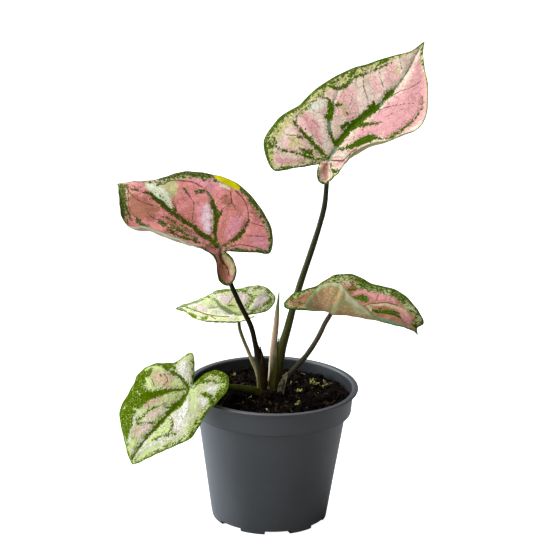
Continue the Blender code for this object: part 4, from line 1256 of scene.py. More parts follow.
def make_blade(name, slot):
    """A blade as a closed sheet with low relief, thinner towards its margin."""
    sheet = Sheet(name)
    marks = marking_attributes(name, sheet)
    normals = face_normals(sheet.flat, sheet.triangles)
    middle = sheet.flat + normals * blade_relief(sheet, marks)[:, None]
    normals = face_normals(middle, sheet.triangles)
    thin = smoothstep(marks["edge"], 0.0, 1.2)[:, None]
    half = MARGIN_HALF_THICKNESS + (BLADE_HALF_THICKNESS - MARGIN_HALF_THICKNESS) * thin
    points = sheet.out(np.vstack([middle + normals * half, middle - normals * half]))
    count = len(middle)
    here, there = sheet.outline, np.roll(sheet.outline, -1)
    faces = np.vstack([
        sheet.triangles,
        sheet.triangles[:, ::-1] + count,
        np.stack([there, here, here + count], 1),
        np.stack([there, here + count, there + count], 1),
    ])
    attributes = {kind: np.tile(values, 2) for kind, values in marks.items()}
    attributes["place"] = np.vstack([sheet.flat, sheet.flat])
    attributes["under"] = np.repeat([0.0, 1.0], count)
    piece = add_mesh(name + "_fine", points, faces.tolist(), blade_look(name, marks), attributes, 180)
    belongs(piece, slot, name)


# Stems, with the same lines as the CAD model, as (x, y, z, radius) from the foot up
STEM_BOTTOM = 70.0
PETIOLES = {
    "petiole_upper_left": [
        (-5.6, -1, STEM_BOTTOM, 2.4), (-5.8, -1, 84, 2.8), (-7.4, 0, 97.8, 2.9),
        (-8.8, 1, 103.5, 2.6), (-10.8, 1.5, 110.5, 1.7), (-14, 3, 122.2, 1.55),
        (-20.8, 4.5, 135.4, 1.5), (-26.6, 5, 147.9, 1.45), (-30.2, 4.2, 158.5, 1.4),
        (-33.3, 0.9, 170.8, 1.3),
    ],
    "petiole_upper_right": [
        (1.8, 1, STEM_BOTTOM, 2.8), (1.6, 1.5, 84.8, 3.3), (2.8, 3, 94.3, 3.4),
        (4.9, 5, 106.5, 3.1), (8.3, 6.8, 118.8, 2.4), (12, 9, 134.4, 2.1), (16.3, 10, 150.4, 2),
        (22, 10.4, 169.6, 1.85), (26.4, 10.5, 185.6, 1.7), (29.1, 10, 198.6, 1.6),
        (29.9, 8, 211.8, 1.45), (30.5, 3.8, 227, 1.3),
    ],
    "petiole_back_left": [
        (-8, 6, STEM_BOTTOM, 1.6), (-8.1, 6, 84.1, 1.5), (-9.8, 7, 91.8, 1.3),
        (-12.8, 9, 97.7, 1.2), (-15.6, 12, 103.4, 1.15), (-18.4, 14, 109.2, 1.1),
        (-20.9, 17, 115.3, 1.1), (-21.7, 19.5, 121.3, 1),
    ],
    "petiole_lower_right": [
        (5.8, -4.2, STEM_BOTTOM, 1.8), (6.1, -4.4, 84.5, 2.1), (10.2, -5, 93.4, 1.9),
        (14.3, -5.5, 99.2, 1.7), (20.9, -6, 107.9, 1.6), (27, -7, 118.9, 1.55),
        (31.1, -8, 128.8, 1.5), (34.3, -8, 134.6, 1.4),
    ],
    "petiole_lower_left": [
        (-6.4, -8, STEM_BOTTOM, 2), (-6.8, -8.2, 79, 2.5), (-11.6, -10.5, 84.9, 2.6),
        (-16.8, -13, 86.7, 2.5), (-22, -16, 88.5, 2.3), (-28, -18.5, 89.9, 2),
        (-37, -21, 90.4, 1.7), (-48.4, -23.4, 90.2, 1.5),
    ],
}
# The stems' colours, as (share of the way up, 0 to 255 levels)
STEM_STOPS = {
    "petiole_upper_left": [
        (0, (66, 72, 20)), (0.12, (60, 58, 20)), (0.3, (30, 25, 14)), (1, (36, 33, 20)),
    ],
    "petiole_upper_right": [
        (0, (60, 62, 18)), (0.2, (66, 64, 26)), (0.4, (68, 71, 38)), (0.8, (52, 53, 36)),
        (1, (48, 48, 28)),
    ],
    "petiole_back_left": [
        (0, (92, 94, 48)), (0.4, (138, 128, 90)), (0.85, (120, 108, 78)), (1, (56, 44, 28)),
    ],
    "petiole_lower_right": [
        (0, (66, 62, 40)), (0.25, (50, 46, 34)), (0.6, (62, 58, 46)), (1, (94, 74, 60)),
    ],
    "petiole_lower_left": [(0, (72, 74, 24)), (0.3, (62, 66, 20)), (1, (74, 82, 26))],
    "rolled_new_leaf": [
        (0, (120, 118, 70)), (0.3, (188, 170, 130)), (0.55, (200, 170, 140)),
        (0.78, (168, 140, 104)), (0.86, (96, 120, 44)), (1, (84, 116, 38)),
    ],
}
ROLLED_LEAF_PATH = [
    (-0.9, 8, STEM_BOTTOM, 1.7), (-0.9, 8, 84, 1.9), (-0.7, 8, 91, 1.8), (0, 8.5, 104, 2.1),
    (0.8, 9, 114.7, 2), (1.6, 9, 125, 1.6), (2.1, 9, 133, 1.1), (2.8, 9, 142.5, 0.35),
]
STEM_SIDES = 28
STEM_RINGS = 120

# The papery sheaths at the stems' feet. Each is drawn by its look, the shares of its stem
# where it starts and ends, the way it faces and its spread in degrees, and its flare in mm
SHEATH_TONES = {
    "sheath_brown": ((44, 36, 18), (82, 56, 38)),
    "sheath_olive": ((52, 50, 16), (86, 80, 32)),
    "sheath_paper": ((40, 32, 20), (170, 160, 128)),
}
SHEATHS = {
    "upper_left": ("sheath_brown", 0.14, 0.37, 10, 115, 0.8),
    "upper_right": ("sheath_olive", 0.09, 0.27, 170, 100, 0.5),
    "lower_right": ("sheath_paper", 0.15, 0.36, 215, 80, 0.5),
    "lower_left": ("sheath_olive", 0.12, 0.3, 60, 60, 0.0),
}
SHEATH_RINGS = 40
SHEATH_STEPS = 18
SHEATH_PATH_STEPS = 160
SHEATH_GAP = 0.25
SHEATH_THICKNESS = 0.3


def path_frames(path, rings):
    """Centres, radii and two cross axes at even steps along (x, y, z, radius) points."""
    places = evenly(spline(path, 16), rings)
    centres, radii = places[:, :3], places[:, 3]
    ways = np.gradient(centres, axis=0)
    ways /= np.linalg.norm(ways, axis=1)[:, None]
    side = np.array([1.0, 0.0, 0.0])
    sides = []
    for way in ways:
        side = side - way * (side @ way)
        side /= np.linalg.norm(side)
        sides.append(side)
    sides = np.array(sides)
    return centres, radii, sides, np.cross(ways, sides), ways


def closed_tube(loops, low_pole, high_pole):
    """Points and outward faces of a tube from loops of points, closed at two poles."""
    loops = np.asarray(loops)
    rings, sides = loops.shape[:2]
    points = np.vstack([[low_pole], loops.reshape(-1, 3), [high_pole]])
    faces, last = [], rings * sides + 1
    for k in range(sides):
        after = (k + 1) % sides
        faces.append((0, 1 + after, 1 + k))
        for row in range(rings - 1):
            low, high = 1 + row * sides, 1 + (row + 1) * sides
            faces.append((low + k, low + after, high + after, high + k))
        high = 1 + (rings - 1) * sides
        faces.append((high + k, high + after, last))
    return points, faces


def make_stem(name, path, material, slot, profile=None):
    """A round stem, or one whose radius at an angle and share is scaled by profile."""
    centres, radii, across, up, ways = path_frames(path, STEM_RINGS)
    turns = 2 * math.pi * np.arange(STEM_SIDES) / STEM_SIDES
    loops = []
    for k in range(STEM_RINGS + 1):
        share = k / STEM_RINGS
        ribs = 1 + 0.025 * np.sin(7 * turns + 3 * share) + 0.02 * math.sin(41 * share)
        scale = ribs if profile is None else profile(turns, share)
        round_it = across[k] * np.cos(turns)[:, None] + up[k] * np.sin(turns)[:, None]
        loops.append(centres[k] + round_it * (radii[k] * scale)[:, None])
    for back, share in ((0.45, 0.89), (0.8, 0.6)):
        loops.append(centres[-1] + ways[-1] * radii[-1] * back + (loops[STEM_RINGS] - centres[-1]) * share)
    low = centres[0] - ways[0] * radii[0] * 0.3
    high = centres[-1] + ways[-1] * radii[-1]
    points, faces = closed_tube(loops, low, high)
    shares = np.concatenate([[0], np.repeat(np.linspace(0, 1, len(loops)), STEM_SIDES), [1]])
    angles = np.concatenate([[0], np.tile(turns, len(loops)), [0]])
    skin = np.stack([np.cos(angles), np.sin(angles), shares * 12], 1)
    piece = add_mesh(name + "_fine", points, faces, material, {"up": shares, "skin": skin}, 70)
    belongs(piece, slot, name)


def stem_look(name, stops):
    """Satin stem, coloured along its length, with fine streaks and a few pale specks."""
    look = Look(name, 0.42, 0.05)
    streaks = look.noise(look.vector("skin"), 3.2, 3)
    colour = look.ramp(look.number("up"), stops)
    colour = look.over(colour, srgb(24, 18, 14), look.smooth(streaks, 0.45, 0.7), 0.4)
    specks = look.smooth(look.noise(look.object_place(), 900, 2), 0.66, 0.74)
    look.colour(look.over(colour, srgb(140, 132, 96), specks, 0.3))
    look.bump(streaks, 0.25, 0.0004)
    look.rough(look.plus(look.times(streaks, 0.2), 0.28))
    return look.material


def rolled_leaf_look():
    """Pale rolled blade with its own streaks, green at its tip."""
    look = Look("rolled_leaf_skin", 0.45, 0.4)
    streaks = look.noise(look.vector("skin"), 5.0, 3)
    colour = look.ramp(look.number("up"), STEM_STOPS["rolled_new_leaf"])
    look.colour(look.over(colour, srgb(120, 92, 66), look.smooth(streaks, 0.5, 0.72), 0.5))
    look.bump(streaks, 0.3, 0.0003)
    return look.material


def make_sheath(name, path, start, end, facing, spread, flare, material):
    """A thin papery sheath round one side of a stem. It wraps spread degrees each way of
    facing at its foot, narrows to a point at its top, and its edges stand off by flare."""
    rings, steps = SHEATH_RINGS, SHEATH_STEPS
    centres, radii, across, up, _ = path_frames(path, SHEATH_PATH_STEPS)
    inner, outer, edges = [], [], []
    for k in range(rings + 1):
        share = k / rings
        at = round((start + (end - start) * share) * SHEATH_PATH_STEPS)
        reach = math.radians(spread) * (1 - share**3) + 0.03
        for step in range(steps + 1):
            t = 2 * step / steps - 1
            turn = math.radians(facing) + reach * t
            way = across[at] * math.cos(turn) + up[at] * math.sin(turn)
            off = radii[at] + SHEATH_GAP + flare * abs(t) ** 3 * (1 - 0.5 * share)
            off += 0.12 * math.sin(23 * share + 3 * t)
            inner.append(centres[at] + way * off)
            outer.append(centres[at] + way * (off + SHEATH_THICKNESS))
            edges.append((1 - abs(t)) * reach * radii[at])
    width, count, faces = steps + 1, len(inner), []
    for k in range(rings):
        for step in range(steps):
            a, b = k * width + step, k * width + step + 1
            faces.append((a + count, b + count, b + width + count, a + width + count))
            faces.append((a + width, b + width, b, a))
    border = [k * width for k in range(rings + 1)]
    border += [rings * width + step for step in range(1, width)]
    border += [k * width + steps for k in range(rings - 1, -1, -1)]
    border += range(steps - 1, 0, -1)
    for here, there in zip(border, border[1:] + border[:1], strict=True):
        faces.append((here, here + count, there + count, there))
    shares = np.tile(np.repeat(np.linspace(0, 1, rings + 1), width), 2)
    made = add_mesh(name, inner + outer, faces, material, {"rim": edges + edges, "up": shares}, 70)
    belongs(made, "petiole")


def sheath_look(name, body, edge):
    """Papery skin with fine streaks, and its torn edge in another colour."""
    look = Look(name, 0.6, 0.05)
    streaks = look.noise(look.object_place((1, 1, 0.25)), 1400, 3)
    colour = look.over(body, edge, look.smooth(streaks, 0.4, 0.65))
    colour = look.over(colour, body, 0.65)
    rim = look.moved(look.number("rim"), streaks, 0.4)
    look.colour(look.over(colour, edge, look.smooth(rim, 0.42, 0.2)))
    look.bump(streaks, 0.4, 0.0003)
    return look.material


def rolled_profile(turns, share):
    """The rolled blade's outer wrap ends in an edge that winds slowly upward."""
    wound = (turns / (2 * math.pi) + 0.35 - 0.5 * share) % 1.0
    return 0.86 + 0.22 * wound


def make_stems():
    for name, path in PETIOLES.items():
        make_stem(name, path, stem_look(name + "_skin", STEM_STOPS[name]), "petiole")
    looks = {}
    for name, (body, edge) in SHEATH_TONES.items():
        looks[name] = sheath_look(name, srgb(*body), srgb(*edge))
    for stem, (look, *shape) in SHEATHS.items():
        make_sheath("sheath_" + stem, PETIOLES["petiole_" + stem], *shape, looks[look])
    make_stem("rolled_new_leaf", ROLLED_LEAF_PATH, rolled_leaf_look(), "rolled_leaf", rolled_profile)


# Pot
POT_HEIGHT = 85.5
LIP_RADIUS = 53.1
LIP_THICKNESS = 1.6
BAND_TOP_RADIUS = 50.3
BAND_LOW_RADIUS = 49.1
BAND_BOTTOM = 69.8
BODY_TOP_RADIUS = 46.0
BODY_LOW_RADIUS = 35.8
BASE_RADIUS = 32.7
POT_WALL = 1.2
FLOOR_TOP = 3.6
POT_SEGMENTS = 210
NOTCHES = 7
NOTCH_DEGREES = 26.5
NOTCH_HEIGHT = 2.4
NOTCH_INNER_RADIUS = 25.0
FIRST_NOTCH_DEGREES = -80.8
DRAIN_RADIUS = 2.8
DRAIN_CENTRE_RADIUS = 29.3
GAP = 0.3
LIP_ROUND = 0.75
BASE_ROUND = 1.5
MOUTH_ROUND = 1.4
POT_SHARP_DEGREES = 32  # faces that meet more steeply than this keep a sharp edge

# A short pale scratch low on the front of the pot, as (pixel, height in mm) of its ends
SCRATCH = (((239.5, 524), 12.0), ((254, 527), 9.0))


def lathe(rings, segments):
    """Points and faces of a closed turned body, its rings going up the outside from pole
    to pole. A ring is (radius, z), and either may be an array over the segments."""
    turns = 2 * math.pi * np.arange(segments) / segments
    loops = []
    for radius, z in rings[1:-1]:
        radius, z = np.broadcast_to(radius, segments), np.broadcast_to(z, segments)
        loops.append(np.stack([radius * np.cos(turns), radius * np.sin(turns), z], 1))
    return closed_tube(loops, (0, 0, rings[0][1]), (0, 0, rings[-1][1]))


def arc(centre, radius, first, last, steps):
    """Points on a round corner of a profile, between two angles in degrees."""
    turns = np.radians(np.linspace(first, last, steps + 1))
    return [(centre[0] + radius * math.cos(a), centre[1] + radius * math.sin(a)) for a in turns]


def pot_profile():
    """The pot's section, up the outside, over the rounded lip and down the inside."""
    share = (FLOOR_TOP - NOTCH_HEIGHT) / (BAND_BOTTOM - NOTCH_HEIGHT)
    floor_wall = BODY_LOW_RADIUS + (BODY_TOP_RADIUS - BODY_LOW_RADIUS) * share - POT_WALL
    under_lip = POT_HEIGHT - LIP_THICKNESS
    outside = [
        (0.0, 0.0), (BASE_RADIUS - 1.0, 0.0), (BASE_RADIUS, 0.0),
        *arc((BODY_LOW_RADIUS - 1.6, BASE_ROUND), BASE_ROUND, -70, -8, 5),
        (BODY_LOW_RADIUS, NOTCH_HEIGHT), (BODY_LOW_RADIUS + 0.2, NOTCH_HEIGHT + 0.9),
        (BODY_TOP_RADIUS - 0.25, BAND_BOTTOM - 1.1), (BODY_TOP_RADIUS, BAND_BOTTOM - 0.45),
        (BODY_TOP_RADIUS + 0.5, BAND_BOTTOM - 0.1),
        *arc((BAND_LOW_RADIUS - LIP_ROUND, BAND_BOTTOM + LIP_ROUND), LIP_ROUND, -88, -4, 6),
        (BAND_TOP_RADIUS - 0.06, under_lip - 0.9), (BAND_TOP_RADIUS + 0.1, under_lip - 0.35),
        (BAND_TOP_RADIUS + 0.6, under_lip),
        *arc((LIP_RADIUS - LIP_ROUND, POT_HEIGHT - 0.8), LIP_ROUND, -85, 85, 9),
    ]
    inside = [
        (BAND_TOP_RADIUS + 0.5, POT_HEIGHT - 0.03),
        *arc((BAND_TOP_RADIUS + 0.2, POT_HEIGHT - MOUTH_ROUND), MOUTH_ROUND, 95, 176, 7),
        (BAND_LOW_RADIUS - POT_WALL, BAND_BOTTOM + 2.2),
        (BODY_TOP_RADIUS - POT_WALL + 0.6, BAND_BOTTOM + 1.0),
        (BODY_TOP_RADIUS - POT_WALL, BAND_BOTTOM), (floor_wall, FLOOR_TOP + 1.2),
        (BASE_RADIUS - POT_WALL, FLOOR_TOP), (0.0, FLOOR_TOP),
    ]
    return outside + inside


def sector(inner, outer, low, high, middle, width, steps=6):
    """Points and faces of a block between two radii, two heights and two angles."""
    points, faces = [], []
    for k in range(steps + 1):
        turn = math.radians(middle + width * (k / steps - 0.5))
        for radius, z in ((inner, low), (outer, low), (outer, high), (inner, high)):
            points.append((radius * math.cos(turn), radius * math.sin(turn), z))
    for k in range(steps):
        for side in range(4):
            here, there = 4 * k + side, 4 * k + (side + 1) % 4
            faces.append((here, here + 4, there + 4, there))
    faces.append((0, 1, 2, 3))
    faces.append(tuple(4 * steps + side for side in (3, 2, 1, 0)))
    return points, faces


def pot_look():
    """Dark grey moulded plastic: faint turning marks, fine grain, dust, a scratch, a painted highlight
    along the lip's top and a painted shadow line under the band.
    """
    look = Look("pot_grey_plastic", 0.42, 0.75)
    place = look.object_place()
    height = look.node("ShaderNodeSeparateXYZ", {0: place}).outputs["Z"]

    def between(low, high):
        """A share that goes from 0 to 1 from one height in mm to another."""
        return look.smooth(height, low * MM, high * MM)

    grain = look.noise(place, 2600, 2)
    clouds = look.noise(place, 26, 4)
    rings = look.noise(look.object_place((0.05, 0.05, 1)), 420, 2)
    dust = look.smooth(look.noise(place, 700, 3), 0.64, 0.74)
    scratch = look.smooth(look.number("scratch"), 0.35, 0.1)
    lip_highlight = between(POT_HEIGHT - 0.7, POT_HEIGHT - 0.15)
    # The next two shares bound a painted shadow line under the band.
    above = between(BAND_BOTTOM - 1.6, BAND_BOTTOM - 0.2)
    below = between(BAND_BOTTOM + 1.3, BAND_BOTTOM + 0.6)
    colour = look.over(srgb(42, 44, 47), srgb(48, 50, 54), look.smooth(clouds, 0.35, 0.7))
    colour = look.over(colour, srgb(110, 108, 104), dust, 0.1)
    colour = look.over(colour, srgb(150, 154, 160), scratch, 0.5)
    # Painted highlight: a thin pale line along the top edge of the lip.
    colour = look.over(colour, srgb(124, 126, 130), lip_highlight, 0.3)
    # Painted shadow: a dark line under the band's lower edge, where it overhangs the body.
    look.colour(look.over(colour, srgb(14, 15, 16), above, below, 0.8))
    look.bump(look.plus(look.times(grain, 0.6), look.times(rings, 0.8)), 0.3, 0.00015)
    look.rough(look.plus(look.times(clouds, 0.2), 0.34))
    return look.material


def make_cutters():
    """Blocks for the notches round the pot's bottom edge, each with its drain hole."""
    empty = bpy.data.materials.new("cutter")
    cutters = []
    for k in range(NOTCHES):
        middle = FIRST_NOTCH_DEGREES + 360 * k / NOTCHES
        block = sector(NOTCH_INNER_RADIUS, LIP_RADIUS, -2.0, NOTCH_HEIGHT, middle, NOTCH_DEGREES)
        cutters.append(add_mesh(f"notch_{k}", *block, empty))
        turn = math.radians(middle)
        centre = np.array([math.cos(turn), math.sin(turn), 0]) * DRAIN_CENTRE_RADIUS
        drain = lathe([(0, 1.0), (DRAIN_RADIUS, 1.0), (DRAIN_RADIUS, 6.0), (0, 6.0)], 24)
        cutters.append(add_mesh(f"drain_{k}", drain[0] + centre, drain[1], empty))
    return cutters


def make_pot():
    points, faces = lathe(pot_profile(), POT_SEGMENTS)
    pot = add_mesh("pot_fine", points, faces, pot_look(), None, POT_SHARP_DEGREES)
    cutters = make_cutters()
    group = bpy.data.collections.new("pot_cutters")
    for cutter in cutters:
        group.objects.link(cutter)
    cut = pot.modifiers.new("cut", "BOOLEAN")
    cut.operation, cut.solver, cut.operand_type = "DIFFERENCE", "EXACT", "COLLECTION"
    cut.collection = group
    graph = bpy.context.evaluated_depsgraph_get()
    shaped = bpy.data.meshes.new_from_object(pot.evaluated_get(graph))
    pot.modifiers.clear()
    pot.data = shaped
    for cutter in cutters:
        bpy.data.objects.remove(cutter, do_unlink=True)
    bpy.data.collections.remove(group)
    shaped.set_sharp_from_angle(angle=math.radians(POT_SHARP_DEGREES))

    spots, depth = to_pixels(np.array([v.co for v in shaped.vertices]) / MM)
    ends, _ = to_pixels(np.array([at_height(*end) for end in SCRATCH]))
    away = line_distance(spots, ends)
    away[depth > depth.mean()] = FAR
    layer = shaped.attributes.new("scratch", "FLOAT", "POINT")
    layer.data.foreach_set("value", away.astype(np.float32))
    belongs(pot, "pot_plastic", "pot")


# Soil
SOIL_TOP = 79.3
SOIL_EDGE_DROP = 1.2
MOUND_CENTRE = (-1.5, -8.0)
MOUND_HEIGHT = 3.2
MOUND_RADIUS = 5.0
SOIL_SEGMENTS = 300
SOIL_RINGS = 80
SOIL_NOISE = ((0.22, 3.0, 1.8), (0.6, 9.0, 1.6), (1.5, 5.0, 1.0))  # scale, layer, height in mm


def soil_height(x, y):
    """The CAD model's soil top, with lumps and crumbs of peat added."""
    bumps = 0.45 * math.sin(0.31 * x + 1.0) * math.cos(0.27 * y - 0.4)
    bumps += 0.35 * math.sin(0.63 * y + 0.45 * x) + 0.25 * math.cos(0.9 * x - 0.7 * y)
    away = math.hypot(x - MOUND_CENTRE[0], y - MOUND_CENTRE[1]) / MOUND_RADIUS
    mound = MOUND_HEIGHT * math.exp(-away * away)
    edge = SOIL_EDGE_DROP * (math.hypot(x, y) / BAND_LOW_RADIUS) ** 6
    lumps = 0.0
    for scale, layer, height in SOIL_NOISE:
        lumps += noise.noise(Vector((x * scale, y * scale, layer))) * height
    return SOIL_TOP + bumps + mound - edge + lumps


def peat_look(name, low, high, scale):
    """Peat from one colour to another by its grain, with pale specks."""
    look = Look(name, 0.95, 0.06)
    place = look.object_place()
    grain = look.noise(place, scale, 5, 0.7)
    specks = look.smooth(look.cells(place, scale * 1.6), 0.16, 0.08)
    colour = look.over(srgb(*low), srgb(*high), look.smooth(grain, 0.42, 0.66))
    look.colour(look.over(colour, srgb(122, 98, 72), specks, look.smooth(grain, 0.5, 0.62)))
    look.bump(grain, 0.9, 0.0009)
    return look.material


def make_soil():
    """Soil that fills the pot a gap clear of its wall, with a lumpy top."""
    turns = 2 * math.pi * np.arange(SOIL_SEGMENTS) / SOIL_SEGMENTS
    inset = POT_WALL + GAP
    top_radius = BAND_LOW_RADIUS - inset + 0.4
    rings = [
        (0.0, FLOOR_TOP + GAP), (BASE_RADIUS - inset - GAP, FLOOR_TOP + GAP),
        (BODY_LOW_RADIUS - inset - 0.4, FLOOR_TOP + 1.6),
        (BODY_TOP_RADIUS - inset, BAND_BOTTOM + GAP), (BAND_LOW_RADIUS - inset, BAND_BOTTOM + 2.6),
    ]
    for k in range(SOIL_RINGS):
        radius = top_radius * (1 - k / SOIL_RINGS)
        heights = [soil_height(radius * math.cos(a), radius * math.sin(a)) for a in turns]
        rings.append((radius, np.array(heights)))
    rings.append((0.0, soil_height(0, 0)))
    points, faces = lathe(rings, SOIL_SEGMENTS)
    peat = peat_look("peat", (8, 5, 4), (30, 21, 15), 420)
    belongs(add_mesh("soil_fine", points, faces, peat, None, 180), "soil", "soil")


# Loose lumps on the soil: their least and greatest size in mm, the seed that shapes them,
# how flat they are and how often the ball that they are bent from is divided
LUMPS = {
    "crumbs_dark": (0.7, 1.7, 11, 0.7, 1),
    "crumbs_light": (0.4, 1.0, 12, 0.7, 1),
    "chunks_dark": (1.4, 2.8, 16, 0.75, 2),
    "perlite_bits": (0.5, 1.0, 13, 0.8, 2),
    "moss_clumps": (0.32, 0.95, 14, 0.9, 1),
    "crown_lumps": (1.0, 2.2, 15, 0.9, 2),
}


def ball_mesh(subdivisions):
    """The points and faces of a round ball, for lumps to be bent from."""
    maker = bmesh.new()
    bmesh.ops.create_icosphere(maker, subdivisions=subdivisions, radius=1.0)
    points = [v.co.copy() for v in maker.verts]
    faces = [tuple(v.index for v in face.verts) for face in maker.faces]
    maker.free()
    return points, faces


def scatter(name, spots, material):
    """Uneven lumps at (x, y) spots, resting half sunk in the soil, as one piece."""
    least, most, seed, flatten, detail = LUMPS[name]
    rng = random.Random(seed)
    ball_points, ball_faces = ball_mesh(detail)
    points, faces = [], []
    for x, y in spots:
        size = rng.uniform(least, most) * (0.6 + 0.8 * rng.random() ** 2)
        turn = Matrix.Rotation(rng.uniform(0, 6.28), 3, "Z") @ Matrix.Rotation(rng.uniform(-1, 1), 3, "X")
        stretch = Vector((rng.uniform(0.7, 1.3), rng.uniform(0.7, 1.3), flatten * rng.uniform(0.7, 1.3)))
        centre = Vector((x, y, soil_height(x, y) + size * flatten * 0.25))
        first = len(points)
        offset = Vector((rng.uniform(0, 90), rng.uniform(0, 90), rng.uniform(0, 90)))
        for corner in ball_points:
            rough = 1 + 0.55 * noise.noise(corner * 1.4 + offset)
            place = Vector(c * s for c, s in zip(corner, stretch, strict=True)) * size * rough
            points.append(centre + turn @ place)
        faces += [tuple(first + k for k in face) for face in ball_faces]
    belongs(add_mesh(name, [tuple(p) for p in points], faces, material, None, 40), "soil")


def random_spots(rng, count, reach):
    """Places strewn evenly over a disc."""
    spots = []
    for _ in range(count):
        radius, turn = reach * math.sqrt(rng.random()), rng.uniform(0, 2 * math.pi)
        spots.append((radius * math.cos(turn), radius * math.sin(turn)))
    return spots


def fibres(name, lines, radius, material):
    """Thin bent roots and fibres, as one piece of four-sided tubes."""
    points, faces = [], []
    for line in lines:
        centres = spline(line, 4)
        ways = np.gradient(centres, axis=0)
        first, last = len(points), len(centres) - 1
        for k, centre in enumerate(centres):
            side = np.cross(ways[k], (0, 0, 1.0))
            side /= max(np.linalg.norm(side), 1e-6)
            up = np.cross(side, ways[k])
            up /= max(np.linalg.norm(up), 1e-6)
            thin = radius * (0.4 if k in (0, last) else 1.0)
            points += [centre + way * thin for way in (side, up, -side, -up)]
        for k in range(last):
            for side in range(4):
                here, there = first + 4 * k + side, first + 4 * k + (side + 1) % 4
                faces.append((here, there, there + 4, here + 4))
        faces.append(tuple(first + k for k in (3, 2, 1, 0)))
        faces.append(tuple(first + 4 * last + k for k in range(4)))
    belongs(add_mesh(name, points, faces, material, None, 60), "soil")


# Where moss grows, as (x, y, spread across, spread down) in pixels and how many tufts
MOSS_SPOTS = (
    (321, 385, 4.6, 2.2, 90), (313, 383, 2.0, 1.6, 24), (300.3, 390.5, 1.6, 0.8, 46),
    (294, 383.5, 1.4, 1.0, 14), (299, 405, 1.6, 1.0, 12), (222, 366.5, 2.4, 0.8, 12),
    (306, 371, 1.0, 1.6, 8), (252, 398, 3.0, 1.0, 8),
)
# Pixels where a pale bit of perlite lies
PERLITE_PIXELS = (
    (242.6, 373.5), (223, 365), (266.5, 409), (294.8, 384), (307, 372), (283, 394), (251, 366),
    (231, 384), (300, 404), (322, 399), (247, 399), (336, 376),
)
LITTER_REACH = 43.0  # mm from the pot's axis to which what is placed by pixels is drawn in


def at_pixels(pixels):
    """Where pixels meet the soil's top, drawn in a little where that is past its edge."""
    spots = [at_height(pixel, SOIL_TOP)[:2] for pixel in pixels]
    return [tuple(spot * min(1.0, LITTER_REACH / math.hypot(*spot))) for spot in spots]


def gauss_pixels(rng, x, y, wide, high, count):
    """Places on the soil round a pixel, spread by so much across and down."""
    return at_pixels([(rng.gauss(x, wide), rng.gauss(y, high)) for _ in range(count)])


def crumb_look(name, scale, high_share, low, high, strength, distance):
    """Perlite or moss: from one colour to another by its grain."""
    look = Look(name, 0.8, 0.3)
    grain = look.noise(look.object_place(), scale, 3)
    look.colour(look.over(srgb(*low), srgb(*high), look.smooth(grain, 0.4, high_share)))
    look.bump(grain, strength, distance)
    return look.material


def fibre_lines(rng):
    """Paths of loose fibres that wander over the soil, from those that stay inside the pot."""
    lines = []
    for x, y in random_spots(rng, 90, 44.0):
        heading, line = rng.uniform(0, 2 * math.pi), []
        for _ in range(4):
            line.append((x, y, soil_height(x, y) + rng.uniform(0.2, 1.3)))
            heading += rng.uniform(-0.9, 0.9)
            step = rng.uniform(0.8, 2.4)
            x, y = x + step * math.cos(heading), y + step * math.sin(heading)
        if math.hypot(x, y) < 46.0:
            lines.append(line)
    return lines


def make_litter():
    """Crumbs of peat, perlite, fibres, moss and the rough old crown on the soil."""
    rng = random.Random(7)
    dark = peat_look("crumb_dark", (7, 5, 4), (28, 20, 14), 800)
    light = peat_look("crumb_light", (52, 36, 24), (112, 86, 60), 900)
    scatter("crumbs_dark", random_spots(rng, 620, 45.0), dark)
    scatter("crumbs_light", random_spots(rng, 190, 45.0), light)
    chunks = random_spots(rng, 110, 43.0)
    scatter("chunks_dark", chunks + gauss_pixels(rng, 241, 368, 11, 1.5, 26), dark)

    stone = crumb_look("perlite", 1500, 0.65, (150, 134, 108), (206, 196, 176), 0.6, 0.0004)
    scatter("perlite_bits", at_pixels(PERLITE_PIXELS), stone)
    moss = crumb_look("moss_green", 1300, 0.62, (104, 110, 40), (212, 212, 128), 0.9, 0.0006)
    scatter("moss_clumps", [tuft for spot in MOSS_SPOTS for tuft in gauss_pixels(rng, *spot)], moss)

    thread = Look("fibre_brown", 0.8, 0.3)
    shade = thread.noise(thread.object_place(), 500)
    thread.colour(thread.mix(shade, srgb(70, 48, 32), srgb(128, 100, 68)))
    fibres("peat_fibres", fibre_lines(rng), 0.13, thread.material)
    crown = peat_look("crown_dark", (12, 8, 6), (46, 33, 24), 700)
    x, y = MOUND_CENTRE
    scatter("crown_lumps", [(x + rng.gauss(0, 2.6), y + rng.gauss(-0.5, 1.6)) for _ in range(26)], crown)


# Floor, light and camera
def make_stage():
    """A white floor that the camera sees glowing, as the photograph's does."""
    bpy.ops.mesh.primitive_circle_add(vertices=96, radius=2.4, fill_type="NGON", location=(0, 0, -0.0002))
    floor = bpy.context.object
    floor.name = "studio_floor"
    look = Look("floor_white", 0.9, 0.2)
    shade = look.noise(look.object_place(), 3.0, 2)
    look.colour(look.mix(shade, (0.6, 0.6, 0.6, 1), (0.64, 0.64, 0.64, 1)))
    look.shader.inputs["Emission Color"].default_value = (1, 1, 1, 1)
    seen = look.node("ShaderNodeLightPath", {}).outputs["Is Camera Ray"]
    look.put(look.shader.inputs["Emission Strength"], look.times(seen, 1.0))
    floor.data.materials.append(look.material)


# The lamps: where they stand and aim in metres, their width and height, power, colour and
# how wide their light spreads in degrees
LAMPS = {
    "key": ((-0.8, -0.9, 1.4), (0, 0, 0.15), (0.9, 0.9), 17, (1.0, 1.0, 1.0), 180),
    "window": ((-1.3, 0.1, 0.6), (0, 0, 0.1), (1.6, 1.2), 26, (0.82, 0.92, 1.0), 180),
    "low": ((-0.8, 0.32, 0.05), (0, 0, 0.03), (0.3, 0.1), 1.0, (0.74, 0.87, 1.0), 50),
    "top": ((-0.5, 0.7, 1.4), (0, 0, 0.15), (1.0, 1.0), 16, (1.0, 1.0, 1.0), 180),
}


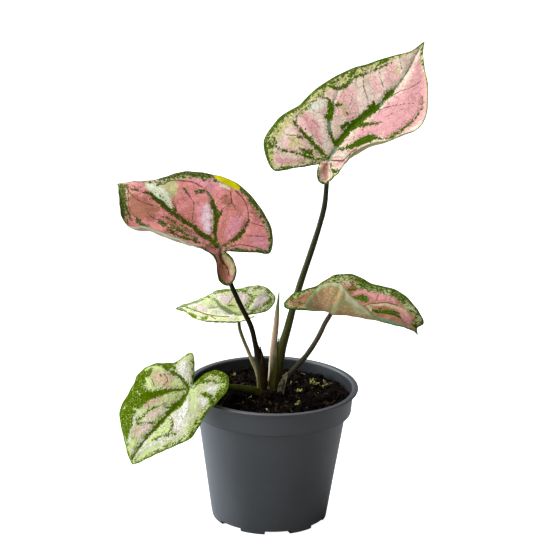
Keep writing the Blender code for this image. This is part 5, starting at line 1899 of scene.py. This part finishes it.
def area_light(name, place, target, size, power, colour, spread):
    data = bpy.data.lights.new(name, "AREA")
    data.spread = math.radians(spread)
    data.shape, data.size, data.size_y = "RECTANGLE", *size
    data.energy, data.color = power, colour
    lamp = bpy.data.objects.new(name, data)
    lamp.location = place
    lamp.rotation_euler = (Vector(target) - Vector(place)).to_track_quat("-Z", "Y").to_euler()
    bpy.context.scene.collection.objects.link(lamp)


def make_lights():
    """A faint ambient light that the camera sees as white, and the lamps."""
    world = bpy.data.worlds.new("studio")
    bpy.context.scene.world = world
    world.use_nodes = True
    nodes, links = world.node_tree.nodes, world.node_tree.links
    ambient, white = nodes["Background"], nodes.new("ShaderNodeBackground")
    for shader, colour, strength in ((ambient, (0.94, 0.97, 1.0, 1), 0.1), (white, (1, 1, 1, 1), 1.1)):
        shader.inputs[0].default_value = colour
        shader.inputs[1].default_value = strength
    seen, both_worlds = nodes.new("ShaderNodeLightPath"), nodes.new("ShaderNodeMixShader")
    sources = (seen.outputs["Is Camera Ray"], ambient.outputs[0], white.outputs[0])
    for k, source in enumerate(sources):
        links.new(source, both_worlds.inputs[k])
    links.new(both_worlds.outputs[0], nodes["World Output"].inputs[0])
    for name, lamp in LAMPS.items():
        area_light(name, *lamp)


def make_camera():
    """The camera that the photograph was taken with."""
    data = bpy.data.cameras.new("camera")
    data.sensor_width = SENSOR
    data.lens = FOCAL_PIXELS * SENSOR / IMAGE_PIXELS
    data.clip_start, data.clip_end = 0.05, 20
    camera = bpy.data.objects.new("camera", data)
    turned = Matrix([RIGHT, -DOWN, -FORWARD]).transposed().to_4x4()
    camera.matrix_world = Matrix.Translation(Vector(EYE * MM)) @ turned
    bpy.context.scene.collection.objects.link(camera)
    bpy.context.scene.camera = camera
    bpy.context.scene.view_settings.view_transform = "Standard"


def make_tuber():
    """The tuber stays the CAD's own solid, hidden in the soil, with a rough bark look."""
    look = peat_look("tuber_bark", (60, 42, 30), (110, 82, 58), 300)
    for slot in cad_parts["tuber"].material_slots:
        slot.material = look


make_pot()
make_soil()
make_litter()
make_stems()
make_tuber()
for blade_name in BLADES:
    pale = blade_name in ("blade_back_left", "blade_lower_left")
    make_blade(blade_name, "pale_blade" if pale else "pink_blade")
make_stage()
make_lights()
make_camera()
